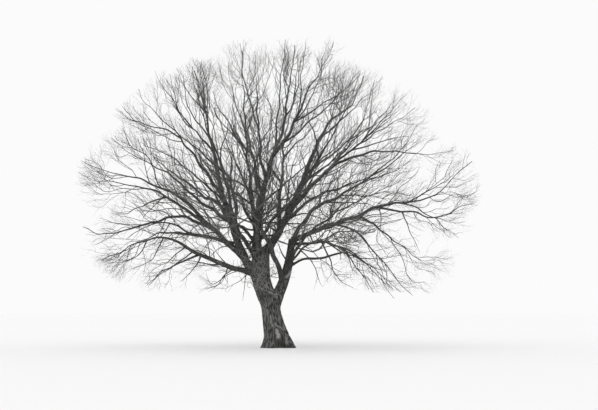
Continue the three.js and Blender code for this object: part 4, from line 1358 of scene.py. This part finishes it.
axis_names = [axis["name"] for axis in axes]
inner_names = [name for name in axis_names if name in bough_number]
side_names = list(SIDE_BOUGHS)


def seeds_of(names, start):
    """start + each limb's number."""
    return [start + lines[name]["number"] for name in names]


def at_foot(name):
    """0 for any limb."""
    return 0


def at_tip(name):
    """1 for any limb."""
    return 1


def at_mass(name):
    """The share where a limb's mass of twigs begins."""
    return LIMBS[name]["bare"]


mass_parents = parents_from(axis_names, at_mass, at_tip, seeds_of(axis_names, 0), False)
inner_parents = parents_from(inner_names, at_foot, at_mass, seeds_of(inner_names, INNER_SEEDS), True)
side_parents = parents_from(side_names, at_foot, at_tip, seeds_of(side_names, SIDE_SEEDS), True)
first_mass = grow(mass_parents, RULE[0], 0)
first_inner = grow(inner_parents, INNER, 0, True)
first_side = grow(side_parents, BESIDE, 0, True)
first = together([first_mass, first_inner, first_side])
first["spray"] = np.arange(len(first["seed"]))
first["bearer"][:] = -1
orders = [first]
for order in (1, 2, 3):
    shoots = grow(orders[-1], RULE[order], order)
    orders.append(chosen(shoots, ~shaded(shoots)))
print("shoots by order:", [len(shoots["seed"]) for shoots in orders])

# %% [markdown]
# Over the column and the shoulder of the lowest western limb a tangle of thin pale shoots has come out of
# the old bark. They creep over it as if drawn with a loose wrist, so each is a walk in the flat picture
# of the front, laid on the skin: a small map holds how far forward the skin comes at each place.

# %% Shoots from old bark
TANGLE = dict(count=70, west=-1.12, wide=1.0, low=2.62, tall=1.75, steps=14, seed=321)
TANGLE_LONG, TANGLE_LONGER = 0.4, 0.8  # least length, and how much more it may be
TANGLE_THICK, TANGLE_FADE = 0.0115, 0.6  # radius at the foot, and the share of it lost on the way
SWING = dict(by=0.9, waves=0.8)  # in radians, and waves on the way at least
FAN = 80  # degrees to either side of upright that a shoot sets out
LIFT_OFF = dict(by=0.16, part=0.8)  # how far a shoot stands off the bark, as part of half a wave
CELL, CELLS = 0.06, 64
MAP_LOW = np.array([-2.2, 1.6])
MAP_BACK = -0.1  # where no skin is

front_most = np.full((CELLS, CELLS), MAP_BACK)
cells = ((skin_corners[:, [0, 2]] - MAP_LOW) / CELL).astype(int)
on_map = np.all((cells >= 0) & (cells < CELLS), axis=1)
np.minimum.at(front_most, tuple(cells[on_map].T), skin_corners[on_map, 1])
for axis in (0, 1, 0, 1):
    front_most = (np.roll(front_most, 1, axis) + front_most + np.roll(front_most, -1, axis)) / 3

seed = seed_of(np.full(TANGLE["count"], TANGLE["seed"], np.uint32), np.arange(TANGLE["count"]))
share = np.arange(TANGLE["steps"] + 1) / TANGLE["steps"]
length = TANGLE_LONG + TANGLE_LONGER * draw(seed, 4)
waves = (SWING["waves"] + draw(seed, 5))[:, None]
swing = SWING["by"] * np.sin(2 * np.pi * (waves * share + draw(seed, 6)[:, None]))
course = np.radians(90 + FAN * even(seed, 3))[:, None] + swing
stride = (length / TANGLE["steps"])[:, None]
first_x = TANGLE["west"] + TANGLE["wide"] * draw(seed, 1)[:, None]
first_z = TANGLE["low"] + TANGLE["tall"] * draw(seed, 2)[:, None]
flat_x = first_x + np.cumsum(np.cos(course) * stride, axis=1)
flat_z = first_z + np.cumsum(np.sin(course) * stride, axis=1)
place = np.clip((np.stack([flat_x, flat_z], -1) - MAP_LOW) / CELL, 0, CELLS - 1).astype(int)
lifted = LIFT_OFF["by"] * np.sin(np.pi * LIFT_OFF["part"] * share) * draw(seed, 7)[:, None]
flat_y = front_most[place[..., 0], place[..., 1]] - lifted
thinning = 1 - TANGLE_FADE * share
tangle = dict(
    seed=seed, curve=np.stack([flat_x, flat_y, flat_z], -1), radii=TANGLE_THICK * (0 * stride + thinning),
    own=np.full(len(seed), axis_number["west_low_limb"]), spray=np.full(len(seed), len(first["seed"])),
)
print("shoots from old bark:", len(seed), "with", round(float(length.sum())), "m of length")

# %% [markdown]
# All shoots of a group of masses become one mesh for Blender: twenty thousand objects would be slow to
# handle, and a few big meshes are quick. Every spray, which is a first shoot with all that grows from it,
# is dealt one of four plain greys, because a pattern would be far finer than the twigs are wide.

# %% Twigs as meshes
TONES = [(0.062, 0.061, 0.060), (0.084, 0.083, 0.081), (0.108, 0.106, 0.103), (0.142, 0.139, 0.134)]
PALE = (0.25, 0.246, 0.238)  # of the shoots from old bark
TWIG_ROUGHNESS = 0.75
TONE_POWER = 1.3  # above 1, so that the darker tones come more often
TANGLE_SIDES = 3
twig_finishes = []
for index, tone in enumerate([*TONES, PALE]):
    finish = bpy.data.materials.new("twig_" + "abcde"[index])
    finish.use_nodes = True
    finish.node_tree.nodes["Principled BSDF"].inputs["Base Color"].default_value = (*tone, 1)
    finish.node_tree.nodes["Principled BSDF"].inputs["Roughness"].default_value = TWIG_ROUGHNESS
    twig_finishes.append(finish)

sides_of = [rule["sides"] for rule in RULE] + [TANGLE_SIDES]
group_of = np.zeros(len(axis_names), int)
for index, name in enumerate(axis_names):
    group_of[index] = [name in names for names in GROUPS.values()].index(True)
dealt = (draw(first["seed"], 77) ** TONE_POWER * len(TONES)).astype(int)
tones = np.append(dealt, len(TONES))
twig_total = 0
for index, (group, names) in enumerate(GROUPS.items()):
    parts = []
    for order, shoots in enumerate([*orders, tangle]):
        mine = chosen(shoots, group_of[shoots["own"]] == index)
        if not len(mine["seed"]):
            continue
        curve, sides = mine["curve"], sides_of[order]
        lean = unit(np.cross(curve[:, -1] - curve[:, 0], unit(curve[:, 0] - HEART) + 0.01))
        corners = tube_corners(curve, mine["radii"], lean, sides, True)
        faces = tube_faces(len(curve), curve.shape[1] - 1, sides, True)
        parts.append((corners, faces, np.repeat(tones[mine["spray"]], len(faces) // len(curve))))
    corners, faces, picks = joined(parts)
    piece = make_piece("twigs_" + group, corners, faces, twig_finishes, picks)
    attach(piece, "root")
    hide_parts(*[name.replace("_limb", "") + "_twigs" for name in names if name in axis_names])
    twig_total += len(faces)
    print(piece.name, len(faces), "triangles")
print("twigs in all:", twig_total, "triangles")

# %% [markdown]
# Bark is grey, paler on the plates, with patches of lichen. Its colour is darker in the grooves: partly the
# bark's own grey, and partly painted shade, since deep grooves hold shade. It could be a picture wrapped
# round the wood, but the mesh already knows for each corner where its grooves are. So the colour reads
# that, and a fine noise along the grain adds the fibres. One node group makes it for trunk and boughs
# alike.

# %% Bark finish
FIBRES = {"Scale": 15, "Detail": 6, "Roughness": 0.7}
FIBRES_DRAWN = (1, 1, 0.2)  # the last is along the grain
PATCHES = {"Scale": 2.4, "Detail": 5, "Roughness": 0.62}
FIBRE_RANGE = (0.36, 0.64)  # of the noise, that is spread out from 0 to 1
# The colour follows the relief, so the grooves get the dark grey as painted shade and the plates the paler
# one.
PLATE_RANGE = (0.5, 1.9)  # of relief x (1 + fibres), from the groove's grey to the plate's
LICHEN_RANGE = (0.55, 0.72)  # of the patches' noise, from none to full


def node(tree, kind, inputs=None, **settings):
    """A node with its settings, and with its inputs set to values or linked from sockets."""
    made = tree.nodes.new(kind)
    for name, value in settings.items():
        setattr(made, name, value)
    for name, value in (inputs or {}).items():
        if isinstance(value, bpy.types.NodeSocket):
            tree.links.new(value, made.inputs[name])
        else:
            made.inputs[name].default_value = value
    return made


MIX_FACTOR, MIX_A, MIX_B, MIX_RESULT = 0, 6, 7, 2  # sockets of a Mix node that mixes colours


def mixed(tree, factor, first, second):
    """The colour between first and second, by factor."""
    inputs = {MIX_FACTOR: factor, MIX_A: first, MIX_B: second}
    return node(tree, "ShaderNodeMix", inputs, data_type="RGBA").outputs[MIX_RESULT]


def spread_out(tree, value, low, high):
    """0 at low, 1 at high, and even between."""
    made = node(tree, "ShaderNodeMapRange", {"Value": value, "From Min": low, "From Max": high})
    return made.outputs["Result"]


bark_look = bpy.data.node_groups.new("bark look", "ShaderNodeTree")
for name, way, kind in (
    ("Groove", "INPUT", "NodeSocketColor"), ("Plate", "INPUT", "NodeSocketColor"),
    ("Lichen", "INPUT", "NodeSocketColor"), ("Color", "OUTPUT", "NodeSocketColor"),
    ("Height", "OUTPUT", "NodeSocketFloat"),
):
    bark_look.interface.new_socket(name, in_out=way, socket_type=kind)
entry = bark_look.nodes.new("NodeGroupInput")
leaving = bark_look.nodes.new("NodeGroupOutput")
relief_read = node(bark_look, "ShaderNodeAttribute", attribute_name="relief")
grain_read = node(bark_look, "ShaderNodeAttribute", attribute_name="grain")
drawn_out = node(
    bark_look, "ShaderNodeMapping", {"Vector": grain_read.outputs["Vector"], "Scale": FIBRES_DRAWN}
)
fibres = node(bark_look, "ShaderNodeTexNoise", {"Vector": drawn_out.outputs["Vector"], **FIBRES})
space = node(bark_look, "ShaderNodeTexCoord")
patches = node(bark_look, "ShaderNodeTexNoise", {"Vector": space.outputs["Object"], **PATCHES})
uneven = spread_out(bark_look, fibres.outputs["Fac"], *FIBRE_RANGE)
raised = node(bark_look, "ShaderNodeMath", {0: relief_read.outputs["Fac"], 1: uneven}, operation="MULTIPLY")
blended = node(
    bark_look, "ShaderNodeMath", {0: raised.outputs[0], 1: relief_read.outputs["Fac"]}, operation="ADD",
)
plate_part = spread_out(bark_look, blended.outputs[0], *PLATE_RANGE)
base = mixed(bark_look, plate_part, entry.outputs["Groove"], entry.outputs["Plate"])
lichen_part = spread_out(bark_look, patches.outputs["Fac"], *LICHEN_RANGE)
pale = node(bark_look, "ShaderNodeMath", {0: lichen_part, 1: plate_part}, operation="MULTIPLY")
colour = mixed(bark_look, pale.outputs[0], base, entry.outputs["Lichen"])
bark_look.links.new(colour, leaving.inputs["Color"])
bark_look.links.new(blended.outputs[0], leaving.inputs["Height"])
print("nodes in the bark look:", len(bark_look.nodes))

# %% [markdown]
# The trunk and the boughs share the bark look, each with its own three greys: boughs are younger, darker
# and a little smoother. The trunk's finish then goes from bark to the smooth callus, and inside the hollow
# to ribbed dead wood, darker between the ribs as painted shade, and to the bare patch, by the numbers that
# its mesh keeps for each corner. Several materials on one mesh would meet in hard edges, and these wounds
# have soft ones.

# %% Trunk and bough materials
# The first grey of each three is for the grooves: near black, partly the bark's own grey and partly painted
# shade.
TRUNK_GREYS = (0.02, 0.0195, 0.019), (0.168, 0.165, 0.16), (0.27, 0.267, 0.257)  # groove, plate, lichen
BOUGH_GREYS = (0.018, 0.0176, 0.017), (0.125, 0.122, 0.118), (0.2, 0.198, 0.19)
CALLUS_GREY = (0.23, 0.227, 0.218, 1)
# The darker rib grey goes between the ribs and the paler on their crests: partly the dead wood's own dark,
# partly painted shade.
RIB_GREYS = (0.022, 0.021, 0.019, 1), (0.13, 0.126, 0.117, 1)
WOOD_GREY = (0.45, 0.44, 0.42, 1)
RIB_RANGE = (0.1, 1.6)  # of the bark look's height, from the darker grey of the ribs to the paler
TRUNK_ROUGHNESS, BOUGH_ROUGHNESS = 0.85, 0.8
GRAIN_BUMP = {"Distance": 0.006, "Strength": 0.6}


def bark_material(name, greys, roughness):
    """Bark look into Base Color, and its height into a Bump that feeds Normal."""
    finish = bpy.data.materials.new(name)
    finish.use_nodes = True
    tree = finish.node_tree
    shader = tree.nodes["Principled BSDF"]
    shader.inputs["Roughness"].default_value = roughness
    look = tree.nodes.new("ShaderNodeGroup")
    look.node_tree = bark_look
    for socket, grey in zip(("Groove", "Plate", "Lichen"), greys):
        look.inputs[socket].default_value = (*grey, 1)
    bump = node(tree, "ShaderNodeBump", {"Height": look.outputs["Height"], **GRAIN_BUMP})
    tree.links.new(look.outputs["Color"], shader.inputs["Base Color"])
    tree.links.new(bump.outputs["Normal"], shader.inputs["Normal"])
    return finish, look, shader


trunk_finish, trunk_look, trunk_shader = bark_material(
    "trunk_bark", TRUNK_GREYS, TRUNK_ROUGHNESS
)
bough_finish = bark_material("bough_bark", BOUGH_GREYS, BOUGH_ROUGHNESS)[0]
tree = trunk_finish.node_tree
rot = node(tree, "ShaderNodeAttribute", attribute_name="rot")
callus = node(tree, "ShaderNodeAttribute", attribute_name="callus")
wood = node(tree, "ShaderNodeAttribute", attribute_name="wood")
smooth_rim = mixed(tree, callus.outputs["Fac"], trunk_look.outputs["Color"], CALLUS_GREY)
# Darker between the ribs, paler on their crests: painted shade.
rib_tone = spread_out(tree, trunk_look.outputs["Height"], *RIB_RANGE)
ribbed = mixed(tree, rib_tone, *RIB_GREYS)
rotten = mixed(tree, wood.outputs["Fac"], ribbed, WOOD_GREY)
dead = mixed(tree, rot.outputs["Fac"], smooth_rim, rotten)
tree.links.new(dead, trunk_shader.inputs["Base Color"])
trunk.data.materials.clear()
trunk.data.materials.append(trunk_finish)
for piece in bough_pieces.values():
    piece.data.materials.append(bough_finish)
print("finishes:", [finish.name for finish in bpy.data.materials])
